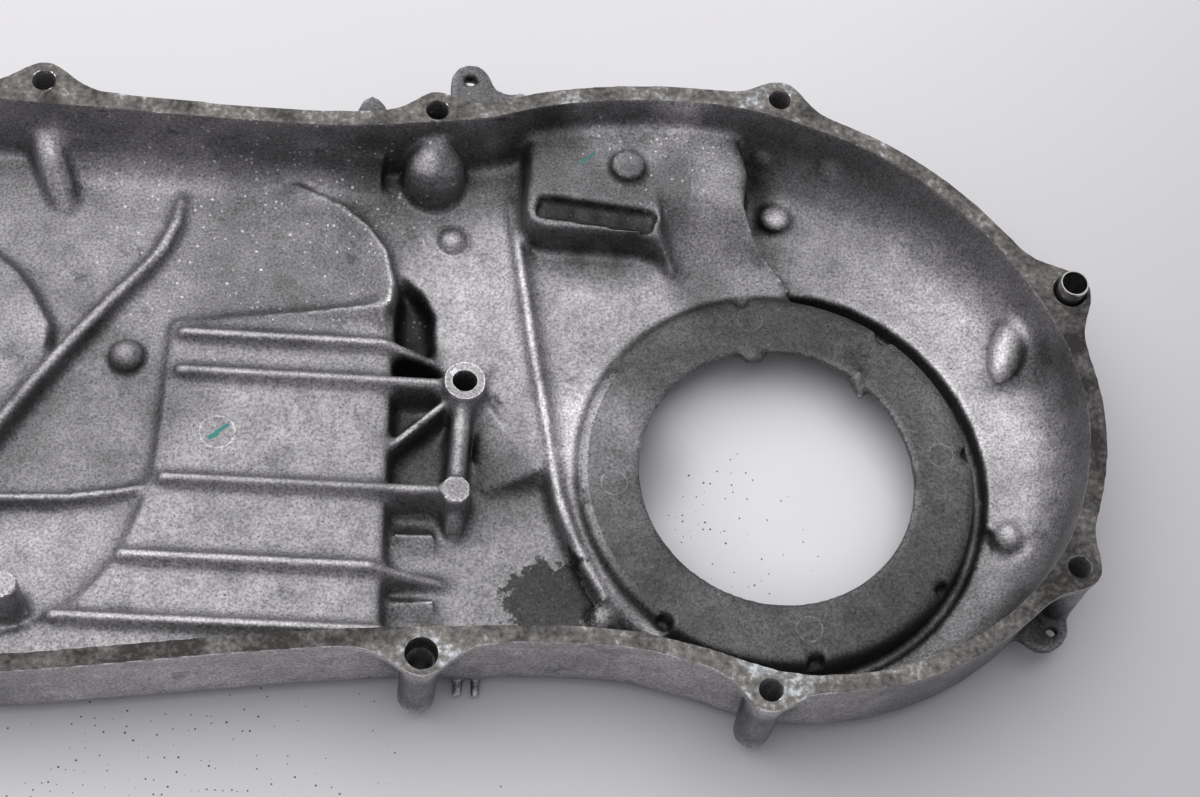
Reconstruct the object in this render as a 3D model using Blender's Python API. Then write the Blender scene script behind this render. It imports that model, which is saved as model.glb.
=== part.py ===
"""Side cover of a scooter's belt drive, cast in aluminium, lying open side up.

Places are in millimetres from the centre of the round clutch opening, with z measured from the
surface that the cover lies on. The gasket flange faces up. X runs along the cover's length.
"""
import math

import bmesh
import bpy
from mathutils import Matrix, Vector
from mathutils.geometry import tessellate_polygon

MM = 0.001
MERGE = 0.002 * MM
FLAT_ANGLE = 1.0
WALL_STEP = 11.0
SHARP_ANGLE = 32.0

# Main levels, from the lying surface
FLANGE_Z = 38.0
DEEP_FLOOR_Z = 4.5
TERRACE_Z = 13.0
RING_Z = 15.0
PLATEAU_Z = 15.0
DISH_Z = 12.5
PAD_Z = 26.0

# Casting sections
FLOOR = 4.0
FLANGE_WIDTH = 4.7
FLANGE_LIP = 4.0
LIP_STEP = 0.9
OUTSIDE_DRAFT = 2.0
INSIDE_DRAFT = 3.0
OUTSIDE_CORNER = 9.0
INSIDE_CORNER = 6.0

# Front end: the round chamber in front of the drive pulley
FRONT = (-231.0, 8.5)
FRONT_RADIUS = 87.0
DISH_RADIUS = 67.0
DISH_CENTRE = (-232.0, 2.0)

# Rear end: the clutch opening and the raised ring round it
OPENING_RADIUS = 38.0
RING_RADIUS = 55.3
RING_EDGE = 2.2
NOTCHES = 8
NOTCH_RADIUS = 2.3
NOTCH_TURN = 9.9
NOTCH_DEPTH = 5.0
NOTCH_SHALLOW = 2.2
RING_PLATE = 2.6
GROOVE = 3.8

# Rim of the flange, clockwise from the top left, between the two ends of the front arc
RIM = [
    (-190, 93.9), (-152, 92.8), (-122, 93.3), (-104, 95.6), (-84, 98.8), (-70, 103.4), (-50, 107.2),
    (-28, 108.6), (-8, 107.2), (13, 101.2), (30, 94.0), (46, 83.2), (58, 72.0), (70, 57.0),
    (79, 41.0), (84.5, 25.0), (86.3, 8.0), (84.0, -10.0), (77.5, -28.0), (66.5, -43.5), (51.0, -56.8),
    (33.0, -66.0), (14.0, -70.6), (-5.0, -70.8), (-24.0, -65.4), (-40.0, -61.9), (-61.0, -61.1),
    (-86.0, -62.4), (-109.0, -64.0), (-145.0, -68.2), (-181.0, -73.4), (-206.0, -76.2),
]

# Bolt bosses: place, and how far down the outside each one runs
BOSS_RADIUS = 6.1
BOLT_HOLE = 3.3
BOSSES = {
    "B1": (-206.0, 96.6), "B2": (-97.8, 95.5), "B3": (-0.9, 106.7), "B4": (79.3, 50.0),
    "B5": (75.6, -32.9), "B6": (-7.4, -71.0), "B7": (-96.0, -65.6),
}
FRONT_BOSS_TURNS = (138.0, 192.0, 246.0)
FRONT_BOSS_OUT = 1.5
BOSS_FOOT_Z = 6.0
PILLAR_Z = 25.0
GUSSET_Z = 26.5
GUSSET_WIDTH = 8.6
DOWEL_BOSS = "B4"
EMPTY_SEAT = "B7"

# Locating dowel
DOWEL_RADIUS = 4.0
DOWEL_WALL = 0.5
DOWEL_LENGTH = 10.5
DOWEL_PROUD = 4.6
DOWEL_GAP = 0.3
DOWEL_SEAT_RADIUS = 5.3
DOWEL_SEAT_DEPTH = 0.8

# Ribs of the plateau: how far along y, and where each one starts on the left
RIB_WIDTH = 3.0
RIB_HEIGHT = 3.6
PLATEAU_RIGHT = -106.5
PLATEAU_EDGE = [(-167.6, 35.7), (-167.8, 24.0), (-168.3, 8.0), (-169.1, -8.9), (-171.6, -20.5),
                (-177.3, -35.1), (-186.5, -46.9), (-196.0, -53.5), (-214.0, -61.0)]
RIBS = {"rib_1": (32.2, -165.0), "rib_2": (20.7, -165.0), "rib_3": (-11.5, -167.0),
        "rib_4": (-34.0, -176.0), "rib_5": (-51.8, -192.0)}

# Posts right of the plateau
POST_1 = (-86.7, 20.2)
POST_1_RADIUS = 5.7
POST_1_HOLE = 3.4
POST_1_Z = 21.0
POST_2 = (-88.0, -11.3)
POST_2_RADIUS = 4.1
POST_2_Z = 19.0

# Terrace between the posts and the ring, with the pit left of it
TERRACE = [(-105.0, 55.3), (-99.2, 50.9), (-95.6, 44.0), (-95.1, 31.0), (-92.0, 24.0), (-80.0, 21.4),
           (-65.1, -1.4), (-57.0, -4.0), (-50.0, 5.0), (-40.0, 28.0), (-18.0, 48.0), (8.0, 52.0),
           (4.8, 57.2), (-2.0, 62.8), (-8.0, 71.0), (-12.4, 80.0), (-12.0, 90.0), (-16.0, 114.0),
           (-75.0, 114.0), (-134.0, 104.0), (-134.0, 84.0), (-122.0, 66.0), (-110.0, 56.0)]
RAMP_TOP = [(-82.0, 18.0), (-65.1, -1.4)]
RAMP_FOOT = [(-83.4, -7.8), (-75.3, -2.9), (-60.5, -2.5)]

# Long curved rib between the terrace and the ring: place and height of its crest
DIVIDER = [(-75.6, 85.0, 13.4), (-74.8, 79.0, 15.6), (-73.3, 70.0, 16.2), (-70.6, 51.6, 16.2),
           (-67.4, 31.7, 16.2), (-64.8, 18.0, 16.0), (-62.7, 5.4, 15.5), (-59.8, -9.7, 14.5),
           (-54.0, -24.3, 13.5), (-46.4, -37.8, 12.5)]
DIVIDER_WIDTH = 3.4

# Raised pad at the rear of the upper wall
PAD = [(-71.0, 114.0), (-70.8, 90.0), (-70.4, 69.0), (-52.0, 67.3), (-33.0, 65.6), (-29.0, 60.0),
       (-14.0, 57.0), (1.0, 57.2), (4.4, 59.0), (0.0, 64.0), (-5.8, 70.8), (-9.4, 79.0), (-8.2, 89.5),
       (-11.0, 100.0), (-16.0, 114.0)]
PAD_SLOPE = [(-34.5, 27.0), (-27.0, 13.3)]
PAD_SLOPE_Y = (84.0, 60.0)
PAD_SLOPE_FOOT_Z = 13.3
PAD_RECESS = [(-67.6, 77.7), (-69.0, 70.8), (-36.2, 67.6), (-33.9, 74.6)]
PAD_RECESS_DEPTH = 3.2
PAD_PIN = (-43.1, 87.6)
PAD_PIN_RADIUS = 5.2

# Volute: the trough that winds round the ring, by turn in degrees about the opening
VOLUTE_UPPER = (106.0, -11.0)
VOLUTE_RISE = 34.0
VOLUTE_DIP = 7.4
VOLUTE_HOLLOW = (80.0, -8.0)
VOLUTE_LOWER = (-9.0, -88.0)
VOLUTE_UPPER_Z = 12.0
VOLUTE_LOWER_Z = 8.0
VOLUTE_BOWL = 24.0
VOLUTE_TOP_Z = 32.0

# Bowl beside the plateau: places on its rim with the share of the full height that each one reaches
BOWL_CENTRE = (-135.5, 41.0)
BOWL_FLOOR_Z = 12.52
BOWL_RIM_Z = 21.0
BOWL_RIM = [(-108.6, 43.2, 1.0), (-108.0, 49.5, 1.0), (-110.3, 59.3, 1.0), (-115.6, 66.8, 1.0),
            (-122.7, 72.9, 0.95), (-129.6, 77.0, 0.75), (-137.0, 82.0, 0.4), (-146.0, 90.0, 0.15),
            (-158.0, 90.0, 0.0), (-169.0, 88.0, 0.0), (-169.0, 60.0, 0.0), (-169.0, 36.0, 0.0)]
BOWL_SWEEP = 2.6
BOWL_SHARES = (0.0, 0.3, 0.5, 0.65, 0.78, 0.88, 0.95)
BOWL_DRAFT = 10.0
BOWL_CREST = [(-166.9, 35.9, 14.8), (-163.0, 36.6, 15.0), (-148.8, 38.8, 15.2), (-132.6, 41.0, 16.0),
              (-118.9, 42.6, 18.0), (-109.0, 43.4, 20.6)]

# Front chamber
DISH_DEPTH = 5.0
HUB = [(-215.3, 53.7), (-205.3, 43.1), (-199.6, 33.0), (-200.5, 22.0), (-209.5, 3.6), (-220.0, -14.0),
       (-229.0, -30.0), (-245.0, -36.0), (-266.0, -28.0), (-279.0, -5.0), (-279.0, 24.0), (-262.0, 49.0),
       (-238.0, 58.5)]
HUB_Z = 15.5
LONG_RIB = [(-167.4, 80.0, 12.8), (-167.6, 75.0, 14.6), (-168.4, 67.5, 16.4), (-171.3, 59.3, 17.0),
            (-177.3, 50.0, 17.4), (-184.1, 41.3, 17.6), (-198.0, 21.7, 17.6), (-209.5, 3.6, 17.6),
            (-220.0, -14.0, 17.4), (-229.0, -32.0, 17.0), (-234.0, -46.0, 15.0)]
LONG_RIB_WIDTH = 3.6
THIN_RIB = [(-226.0, -17.6, 14.6), (-207.1, -18.2, 14.8), (-190.7, -17.3, 14.8), (-178.0, -15.2, 14.8),
            (-165.0, -12.2, 15.0)]
THIN_RIB_WIDTH = 2.4
PIN_DISH = (-178.5, 25.6)
LOW_POST = (-202.0, -49.0)
LOW_POST_RADIUS = 3.8
LOW_POST_Z = 30.0

# Lugs on the outside: outline, underside and top
LOOM_LUG = [(-94.0, 96.0), (-93.9, 106.2), (-93.8, 112.8), (-91.6, 116.1), (-88.4, 116.9), (-85.1, 116.2),
            (-83.0, 113.3), (-81.2, 109.1), (-77.6, 107.8), (-73.4, 108.6), (-68.0, 102.0), (-72.0, 98.0)]
LOOM_LUG_Z = (25.0, 30.0)
LOOM_HOLE = (-88.4, 111.6)
LOOM_HOLE_RADII = (2.2, 1.6)
EAR = [(-121.5, 90.5), (-120.5, 97.0), (-118.4, 102.6), (-116.0, 104.4), (-113.6, 102.9), (-110.4, 97.5),
       (-109.0, 91.5)]
EAR_Z = (24.0, 30.0)
LOW_LUG = [(60.0, -38.0), (63.5, -41.5), (69.0, -46.3), (74.8, -46.3), (79.3, -41.0), (78.0, -35.0),
           (72.0, -30.0)]
LOW_LUG_Z = (9.0, 12.0)
LOW_LUG_HOLE = (74.4, -41.0)
LOW_LUG_HOLE_RADIUS = 1.4
PRONGS = (-85.1, -80.4)
PRONG_TIP_Y = -64.0
PRONG_SIZE = (2.5, 3.0)

# Hollows of the outer face, under the raised forms
FRONT_HOLLOW = 63.0
HOLLOW_CORNER = 7.0
PAD_HOLLOW_Z = 17.0
PLATEAU_HOLLOW = [(-112.5, 37.0), (-161.0, 28.0), (-160.5, 2.0), (-164.0, -20.0), (-174.0, -38.0),
                  (-172.0, -50.0), (-112.5, -50.0)]
BOWL_HOLLOW = [(-160.0, 44.0), (-118.0, 46.5), (-119.0, 57.0), (-126.0, 68.0), (-137.0, 76.0),
               (-158.0, 78.0)]
TERRACE_HOLLOW = [(-112.0, 70.0), (-100.0, 62.0), (-89.0, 54.0), (-88.0, 31.0), (-78.0, 26.0),
                  (-68.0, 14.0), (-61.0, 28.0), (-56.0, 38.0), (-63.0, 56.0), (-77.0, 62.0),
                  (-77.5, 82.0), (-112.0, 80.0)]
PAD_HOLLOW = [(-65.0, 95.0), (-65.0, 72.5), (-38.0, 71.0), (-23.0, 79.0), (-17.0, 86.0), (-18.0, 95.0)]
NEAR_RELIEF = [(-186.0, -52.0), (-186.0, -90.0), (-108.0, -90.0), (-108.0, -54.0)]
NEAR_RELIEF_Z = 5.0

STEEL_COLOUR = (0.35, 0.34, 0.33, 1.0)
CAST_COLOUR = (0.27, 0.27, 0.28, 1.0)


def clear_scene():
    for thing in list(bpy.data.objects):
        bpy.data.objects.remove(thing, do_unlink=True)


def material(name, colour, roughness):
    made = bpy.data.materials.new(name)
    made.use_nodes = True
    shader = made.node_tree.nodes["Principled BSDF"]
    shader.inputs["Base Color"].default_value = colour
    shader.inputs["Metallic"].default_value = 1.0
    shader.inputs["Roughness"].default_value = roughness
    return made


def object_from(name, bm):
    bmesh.ops.recalc_face_normals(bm, faces=bm.faces)
    bmesh.ops.triangulate(bm, faces=bm.faces)
    mesh = bpy.data.meshes.new(name)
    bm.to_mesh(mesh)
    bm.free()
    made = bpy.data.objects.new(name, mesh)
    bpy.context.collection.objects.link(made)
    return made


def loft(name, rings):
    """A closed solid through rings of (x, y, z) in millimetres, all with the same number of points."""
    bm = bmesh.new()
    rows = [[bm.verts.new([value * MM for value in point]) for point in ring] for ring in rings]
    for low, high in zip(rows, rows[1:]):
        for i in range(len(low)):
            j = (i + 1) % len(low)
            bm.faces.new((low[i], low[j], high[j], high[i]))
    for row in (rows[0], rows[-1]):
        for corner in tessellate_polygon([[vert.co for vert in row]]):
            bm.faces.new([row[i] for i in corner])
    return object_from(name, bm)


def tidy(mesh):
    """No doubled points, so that the next step starts from a clean solid."""
    bm = bmesh.new()
    bm.from_mesh(mesh)
    bmesh.ops.remove_doubles(bm, verts=bm.verts, dist=MERGE)
    bmesh.ops.dissolve_degenerate(bm, edges=bm.edges, dist=MERGE)
    bm.to_mesh(mesh)
    bm.free()


def combine(target, tool, operation):
    """The tool is joined to the target or cut from it, and then removed."""
    step = target.modifiers.new(tool.name, "BOOLEAN")
    step.operation = operation
    step.solver = "EXACT"
    step.object = tool
    with bpy.context.temp_override(object=target, active_object=target):
        bpy.ops.object.modifier_apply(modifier=step.name)
    bpy.data.objects.remove(tool, do_unlink=True)
    tidy(target.data)


def join(target, tool):
    combine(target, tool, "UNION")


def cut(target, tool):
    combine(target, tool, "DIFFERENCE")


def curve_through(points, spacing, closed=True):
    """Points at about one spacing along a smooth curve through the given ones, without overshoot."""
    count = len(points)
    spans = count if closed else count - 1
    found = []
    for i in range(spans):
        if closed:
            a, b, c, d = (Vector(points[(i + k) % count]) for k in (-1, 0, 1, 2))
        else:
            a, b, c, d = (Vector(points[min(max(i + k, 0), count - 1)]) for k in (-1, 0, 1, 2))
        ab, bc, cd = (max(1e-6, (q - p).length) ** 0.5 for p, q in ((a, b), (b, c), (c, d)))
        start = (c - b) + ((b - a) / ab - (c - a) / (ab + bc)) * bc if ab > 0.01 else c - b
        end = (c - b) + ((d - c) / cd - (d - b) / (bc + cd)) * bc if cd > 0.01 else c - b
        steps = max(1, round((c - b).length / spacing))
        for k in range(steps):
            t = k / steps
            found.append((2 * t ** 3 - 3 * t ** 2 + 1) * b + (t ** 3 - 2 * t ** 2 + t) * start
                         + (3 * t ** 2 - 2 * t ** 3) * c + (t ** 3 - t ** 2) * end)
    return found if closed else found + [Vector(points[-1])]


def rounded(points, radius, steps=3):
    """A polygon with each corner turned into a round of about one radius."""
    found = []
    for i, corner in enumerate(points):
        corner = Vector(corner)
        before = Vector(points[i - 1]) - corner
        after = Vector(points[(i + 1) % len(points)]) - corner
        start = corner + before.normalized() * min(radius, 0.45 * before.length)
        end = corner + after.normalized() * min(radius, 0.45 * after.length)
        for k in range(steps + 1):
            t = k / steps
            found.append((1 - t) ** 2 * start + 2 * t * (1 - t) * corner + t ** 2 * end)
    return found


def area_of(outline):
    return 0.5 * sum(p.x * q.y - q.x * p.y for p, q in zip(outline, outline[1:] + outline[:1]))


def outward(outline):
    """The outward normal at each point of a closed outline."""
    turn = 1 if area_of(outline) > 0 else -1
    found = []
    for i, point in enumerate(outline):
        before = (point - outline[i - 1]).normalized()
        after = (outline[(i + 1) % len(outline)] - point).normalized()
        mean = (before + after).normalized()
        found.append(Vector((mean.y, -mean.x)) * turn / max(0.5, mean.dot(after)))
    return found


def grown(outline, distance):
    return [point + normal * distance for point, normal in zip(outline, outward(outline))]


def drafted(name, outline, levels):
    """A solid that follows one outline, grown by its own amount at each level."""
    rings = []
    for z, growth in levels:
        rings.append([(point.x, point.y, z) for point in grown(outline, growth)])
    return loft(name, rings)


def slope(angle):
    return math.tan(math.radians(angle))


def pan(name, outline, top, floor, draft, corner, steps=3):
    """A tray's form: sides that draw in to a rounded corner and a flat floor."""
    in_at_corner = slope(draft) * (top - floor - corner)
    levels = [(top, 0.0)]
    for k in range(steps + 1):
        turn = math.radians(90 * k / steps)
        levels.append((floor + corner * (1 - math.sin(turn)),
                       -in_at_corner - corner * (1 - math.cos(turn))))
    return drafted(name, outline, levels)


def mesa(name, outline, base, top, draft=5.0, edge=1.6, steps=2):
    """A raised form with drawn sides and a rounded upper edge. The outline is that of its top."""
    levels = [(base, slope(draft) * (top - edge - base))]
    for k in range(steps + 1):
        turn = math.radians(90 * k / steps)
        levels.append((top - edge * (1 - math.sin(turn)), -edge * (1 - math.cos(turn))))
    return drafted(name, outline, levels)


def circle(centre, radius, count=24, start=0.0, end=360.0):
    full = abs(end - start) >= 360
    steps = count if full else count - 1
    return [Vector((centre[0] + radius * math.cos(math.radians(start + (end - start) * k / steps)),
                    centre[1] + radius * math.sin(math.radians(start + (end - start) * k / steps))))
            for k in range(count)]


def column(name, centre, radii, heights, count=24):
    """A round solid with its own radius at each height."""
    return loft(name, [[(p.x, p.y, z) for p in circle(centre, radius, count)]
                       for radius, z in zip(radii, heights)])


def dome(name, centre, radius, base, top):
    """A pin's end: a short cylinder with a round head."""
    turns = [math.radians(a) for a in (0, 30, 60, 84)]
    head = min(radius, top - base) * 0.8
    radii = [radius] + [radius * math.cos(t) for t in turns]
    heights = [base] + [top - head + head * math.sin(t) for t in turns]
    return column(name, centre, radii, heights, 14)


def rib(name, path, width, base, draft=4.0):
    """A wall along a path of (x, y, top) with drawn sides and a rounded crest."""
    sections = []
    places = [Vector(point) for point in path]
    for i, place in enumerate(places):
        ahead = places[min(i + 1, len(places) - 1)] - places[max(i - 1, 0)]
        side = Vector((-ahead.y, ahead.x)).normalized()
        half = width / 2
        fall = min(half, 0.6 * (place.z - base))
        foot = half + slope(draft) * (place.z - fall - base)
        profile = [(-foot, base), (-half, place.z - fall), (-half * 0.72, place.z - fall * 0.3),
                   (0, place.z), (half * 0.72, place.z - fall * 0.3), (half, place.z - fall), (foot, base)]
        sections.append([(place.x + side.x * across, place.y + side.y * across, z)
                         for across, z in profile])
    return loft(name, sections)


def boss_places():
    places = {name: Vector(place) for name, place in BOSSES.items()}
    for number, turn in enumerate(FRONT_BOSS_TURNS):
        reach = FRONT_RADIUS + FRONT_BOSS_OUT
        places[f"front_{number}"] = Vector((FRONT[0] + reach * math.cos(math.radians(turn)),
                                            FRONT[1] + reach * math.sin(math.radians(turn))))
    return places


def rim_outline(spacing):
    """The flange's outer edge without its bosses."""
    front = circle(FRONT, FRONT_RADIUS, 9, 258.0, 106.0)
    return curve_through([Vector(p) for p in RIM] + front, spacing)


def lobed(outline, radius):
    """The outline, pushed out in a smooth lobe round each bolt boss."""
    normals = outward(outline)
    places = boss_places().values()
    found = []
    for point, normal in zip(outline, normals):
        unit = normal.normalized()
        push = 0.0
        for place in places:
            away = place - point
            height = away.dot(unit) + radius
            if away.length < 4 * radius and height > 0.3:
                along = abs(away.x * unit.y - away.y * unit.x)
                spread = math.sqrt(2 * max(height, 2.0) * radius)
                push = max(push, height * math.exp(-(along / spread) ** 2 * 1.15))
        found.append(point + unit * push)
    return found


def fine_near_bosses(outline):
    """Extra points close to the bosses, where the edge turns fast."""
    places = list(boss_places().values())
    found = []
    for point, after in zip(outline, outline[1:] + outline[:1]):
        found.append(point)
        middle = (point + after) / 2
        if min((middle - place).length for place in places) < 2.6 * BOSS_RADIUS:
            found += [point.lerp(after, t) for t in (0.33, 0.67)]
    return found


def flange(casting):
    edge = lobed(fine_near_bosses(rim_outline(6.0)), BOSS_RADIUS)
    plate = drafted("flange", edge, [(FLANGE_Z - FLANGE_LIP, -0.3), (FLANGE_Z, 0.0)])
    join(casting, plate)


def boss_columns(casting):
    for name, place in boss_places().items():
        radius = BOSS_RADIUS - 0.4
        radii = [radius - 1.5, radius - 0.7, radius - 0.4, radius]
        heights = [BOSS_FOOT_Z - 1.2, BOSS_FOOT_Z, FLANGE_Z - 8, FLANGE_Z - 1]
        join(casting, column(f"column_{name}", place, radii, heights, 16))


def shell():
    """The outside, as one deep pan with the flange's lip and the bosses joined to it."""
    outline = grown(rim_outline(WALL_STEP), -LIP_STEP)
    casting = pan("cover_casting", outline, FLANGE_Z - 1, 0.0, OUTSIDE_DRAFT, OUTSIDE_CORNER)
    boss_columns(casting)
    flange(casting)
    return casting


def hull(name, points):
    """The convex solid round points in millimetres, for ramps and gussets."""
    bm = bmesh.new()
    for point in points:
        bm.verts.new([value * MM for value in point])
    made = bmesh.ops.convex_hull(bm, input=bm.verts)
    loose = [item for item in made["geom_interior"] if isinstance(item, bmesh.types.BMVert)]
    bmesh.ops.delete(bm, geom=loose, context="VERTS")
    return object_from(name, bm)


def ball(name, centre, radii, turn=0.0, segments=24, rings=12):
    """A round or oval solid, turned about z by an angle in degrees."""
    rows = []
    for k in range(1, rings):
        tilt = math.pi * k / rings - math.pi / 2
        row = []
        for point in circle((0, 0), 1.0, segments):
            x, y = point.x * radii[0] * math.cos(tilt), point.y * radii[1] * math.cos(tilt)
            c, s = math.cos(math.radians(turn)), math.sin(math.radians(turn))
            row.append((centre[0] + x * c - y * s, centre[1] + x * s + y * c,
                        centre[2] + radii[2] * math.sin(tilt)))
        rows.append(row)
    return loft(name, rows)


def prism(name, outline, low, high):
    return loft(name, [[(p[0], p[1], z) for p in outline] for z in (low, high)])


def points_of(outline):
    return [Vector(point) for point in outline]


BASE_Z = DEEP_FLOOR_Z - FLOOR / 2


def terrace():
    made = mesa("terrace", curve_through(TERRACE, 6.0), BASE_Z, TERRACE_Z, draft=8.0)
    ramp = [(x, y, TERRACE_Z - 0.1) for x, y in RAMP_TOP] + [(x, y, BASE_Z) for x, y in RAMP_TOP]
    ramp += [(x, y, DEEP_FLOOR_Z) for x, y in RAMP_FOOT] + [(x, y, BASE_Z) for x, y in RAMP_FOOT]
    join(made, hull("ramp", ramp))
    return made


def ring():
    return mesa("ring", circle((0, 0), RING_RADIUS, 64), BASE_Z, RING_Z, draft=5.0, edge=RING_EDGE)


def smooth_step(share):
    share = min(1.0, max(0.0, share))
    return share * share * (3 - 2 * share)


def reach(turn, inset):
    """How far the rim lies from the opening's centre in one direction."""
    ray = Vector((math.cos(math.radians(turn)), math.sin(math.radians(turn))))
    outline = grown(rim_outline(9.0), -inset)
    best = 0.0
    for a, b in zip(outline, outline[1:] + outline[:1]):
        side = b - a
        spread = ray.x * side.y - ray.y * side.x
        if abs(spread) < 1e-9:
            continue
        along = (a.x * side.y - a.y * side.x) / spread
        share = (a.x * ray.y - a.y * ray.x) / spread
        if along > 0 and 0 <= share <= 1:
            best = max(best, along)
    return best


def volute_width(turn):
    """The trough's two radii from the opening's centre, and that of its round outer side."""
    inner = RING_RADIUS + GROOVE
    outer = reach(turn, FLANGE_WIDTH - 0.4)
    return inner, outer, min(VOLUTE_BOWL, outer - inner - 3.0, VOLUTE_TOP_Z - VOLUTE_UPPER_Z)


def volute(name, turns, floor, count=13, bend=6):
    """One stretch of the trough: a floor that rises in a round bowl to the outer wall."""
    sections = []
    for k in range(count):
        turn = turns[0] + (turns[1] - turns[0]) * k / (count - 1)
        inner, outer, bowl = volute_width(turn)
        low = floor - VOLUTE_DIP * (1 - smooth_step((VOLUTE_UPPER[0] - turn) / VOLUTE_RISE))
        rise = bowl + VOLUTE_UPPER_Z - low
        section = [(inner + 0.8, BASE_Z), (inner, low - 1.6), (inner + 0.5, low - 0.4), (inner + 1.8, low)]
        for step in range(bend):
            angle = math.radians(-90 + 84 * step / (bend - 1))
            section.append((outer - bowl + bowl * math.cos(angle), low + rise + rise * math.sin(angle)))
        section += [(outer + 1.5, low + rise), (outer + 1.5, BASE_Z)]
        ray = (math.cos(math.radians(turn)), math.sin(math.radians(turn)))
        sections.append([(r * ray[0], r * ray[1], z) for r, z in section])
    return loft(name, sections)


def pad_slope():
    """What is taken off the pad's right part, so that it falls in a smooth sweep to the terrace."""
    high_y, low_y = PAD_SLOPE_Y
    (top_x, top_z), (foot_x, foot_z) = PAD_SLOPE
    sweep = []
    for k in range(9):
        z = PAD_SLOPE_FOOT_Z + (PAD_Z + 0.2 - PAD_SLOPE_FOOT_Z) * smooth_step(1 - k / 8)
        sweep.append((high_y + (low_y - high_y) * k / 8, z))
    sweep += [(low_y - 14, PAD_SLOPE_FOOT_Z), (low_y - 14, PAD_Z + 8), (high_y, PAD_Z + 8)]
    left = [(top_x + (foot_x - top_x) * (top_z - z) / (top_z - foot_z), y, z) for y, z in sweep]
    right = [(14.0, y, z) for y, z in sweep]
    return loft("pad_slope", [left, right])


def pad():
    made = mesa("pad", curve_through(PAD, 6.0), BASE_Z, PAD_Z, draft=3.0, edge=2.4, steps=2)
    cut(made, pad_slope())
    cut(made, prism("pad_recess", PAD_RECESS, PAD_Z - PAD_RECESS_DEPTH, PAD_Z + 2))
    join(made, column("pad_pin", PAD_PIN, (PAD_PIN_RADIUS, PAD_PIN_RADIUS, PAD_PIN_RADIUS - 0.4),
                      (PAD_Z - 4, PAD_Z + 0.9, PAD_Z + 1.3)))
    return made


def plateau():
    edge = curve_through(PLATEAU_EDGE, 9.0, closed=False)
    outline = [Vector((PLATEAU_RIGHT, 44.0))] + edge
    outline += [Vector((-214.0, -84.0)), Vector((PLATEAU_RIGHT, -84.0))]
    return mesa("plateau", outline, BASE_Z, PLATEAU_Z, draft=8.0, edge=1.4)


def bowl():
    """A shallow bowl beside the plateau, level on the left and swept up to a thin rim on the right."""
    sections = []
    for x, y, lift in BOWL_RIM:
        across = Vector((x - BOWL_CENTRE[0], y - BOWL_CENTRE[1]))
        away = across.normalized()
        height = (BOWL_RIM_Z - BOWL_FLOOR_Z) * lift
        section = [(BOWL_CENTRE[0], BOWL_CENTRE[1], BASE_Z)]
        for share in BOWL_SHARES:
            section.append((BOWL_CENTRE[0] + across.x * share, BOWL_CENTRE[1] + across.y * share,
                            BOWL_FLOOR_Z + height * share ** BOWL_SWEEP))
        top = BOWL_FLOOR_Z + height
        foot = 1.0 + slope(BOWL_DRAFT) * (top - BASE_Z)
        section += [(x, y, top), (x + away.x, y + away.y, top - 0.4),
                    (x + away.x * foot, y + away.y * foot, BASE_Z)]
        sections.append(section)
    made = loft("bowl", sections)
    tidy(made.data)
    return made


def bowl_crest():
    """The edge where the plateau rises above the bowl, from the front corner to the rim."""
    sections = []
    for x, y, top in BOWL_CREST:
        front = 0.8 + (top - PLATEAU_Z + 0.6) * 1.2
        sections.append([(x, y - front, BASE_Z), (x, y - front, PLATEAU_Z - 0.6), (x, y - 0.4, top - 0.1),
                         (x, y + 0.4, top - 0.3), (x, y + 2.2, BOWL_FLOOR_Z - 0.5), (x, y + 2.2, BASE_Z)])
    return loft("bowl_crest", sections)


def dish():
    outline = [Vector(p) for p in ((-150.0, -95.0), (-150.0, 110.0), (-330.0, 110.0), (-330.0, -95.0))]
    made = mesa("dish", outline, BASE_Z, DISH_Z, draft=8.0)
    curve = (DISH_RADIUS ** 2 + DISH_DEPTH ** 2) / (2 * DISH_DEPTH)
    low = (DISH_CENTRE[0], DISH_CENTRE[1], DISH_Z - DISH_DEPTH + curve)
    cut(made, ball("dish_bowl", low, (curve,) * 3, segments=48, rings=48))
    return made


def hub():
    return mesa("hub", curve_through(HUB, 8.0), BASE_Z, HUB_Z, draft=24.0, edge=1.0)


def wall_pieces():
    """Pillars and swellings that lean on the inside of the outer wall."""
    b2 = Vector(BOSSES["B2"])
    b1 = Vector(BOSSES["B1"])
    pillar = [((b2.x, b2.y - 4.0), 2.6, PILLAR_Z + 6), ((b2.x, b2.y - 6.4), 4.4, PILLAR_Z + 4.2),
              ((b2.x + 0.3, b2.y - 8.6), 6.8, PILLAR_Z + 1.6), ((b2.x + 0.4, b2.y - 9.2), 8.3, PILLAR_Z - 2),
              ((b2.x + 0.5, b2.y - 9.6), 9.8, BASE_Z)]
    rings = [[(p.x, p.y, z) for p in circle(place, radius, 24)] for place, radius, z in pillar]
    made = [loft("pillar", rings)]
    path = [(b1.x - 0.2, b1.y - 4.0, GUSSET_Z + 1.6), (b1.x + 0.2, b1.y - 8.8, GUSSET_Z),
            (b1.x + 4.4, b1.y - 19.5, 19.2), (b1.x + 8.7, b1.y - 30.2, DISH_Z - 0.2)]
    made.append(rib("gusset", path, GUSSET_WIDTH, BASE_Z))
    made.append(ball("wall_boss", (65.8, 41.0, 19.5), (12.0, 5.5, 5.0), turn=68.0, segments=20, rings=10))
    made.append(column("low_post", LOW_POST, (LOW_POST_RADIUS + 1.4, LOW_POST_RADIUS),
                       (BASE_Z, LOW_POST_Z), 18))
    x, y = LOW_POST
    made.append(rib("low_web", [(x, y, LOW_POST_Z - 6), (x + 5.7, y - 2.4, PLATEAU_Z)], 2.2, BASE_Z))
    return made


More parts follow.
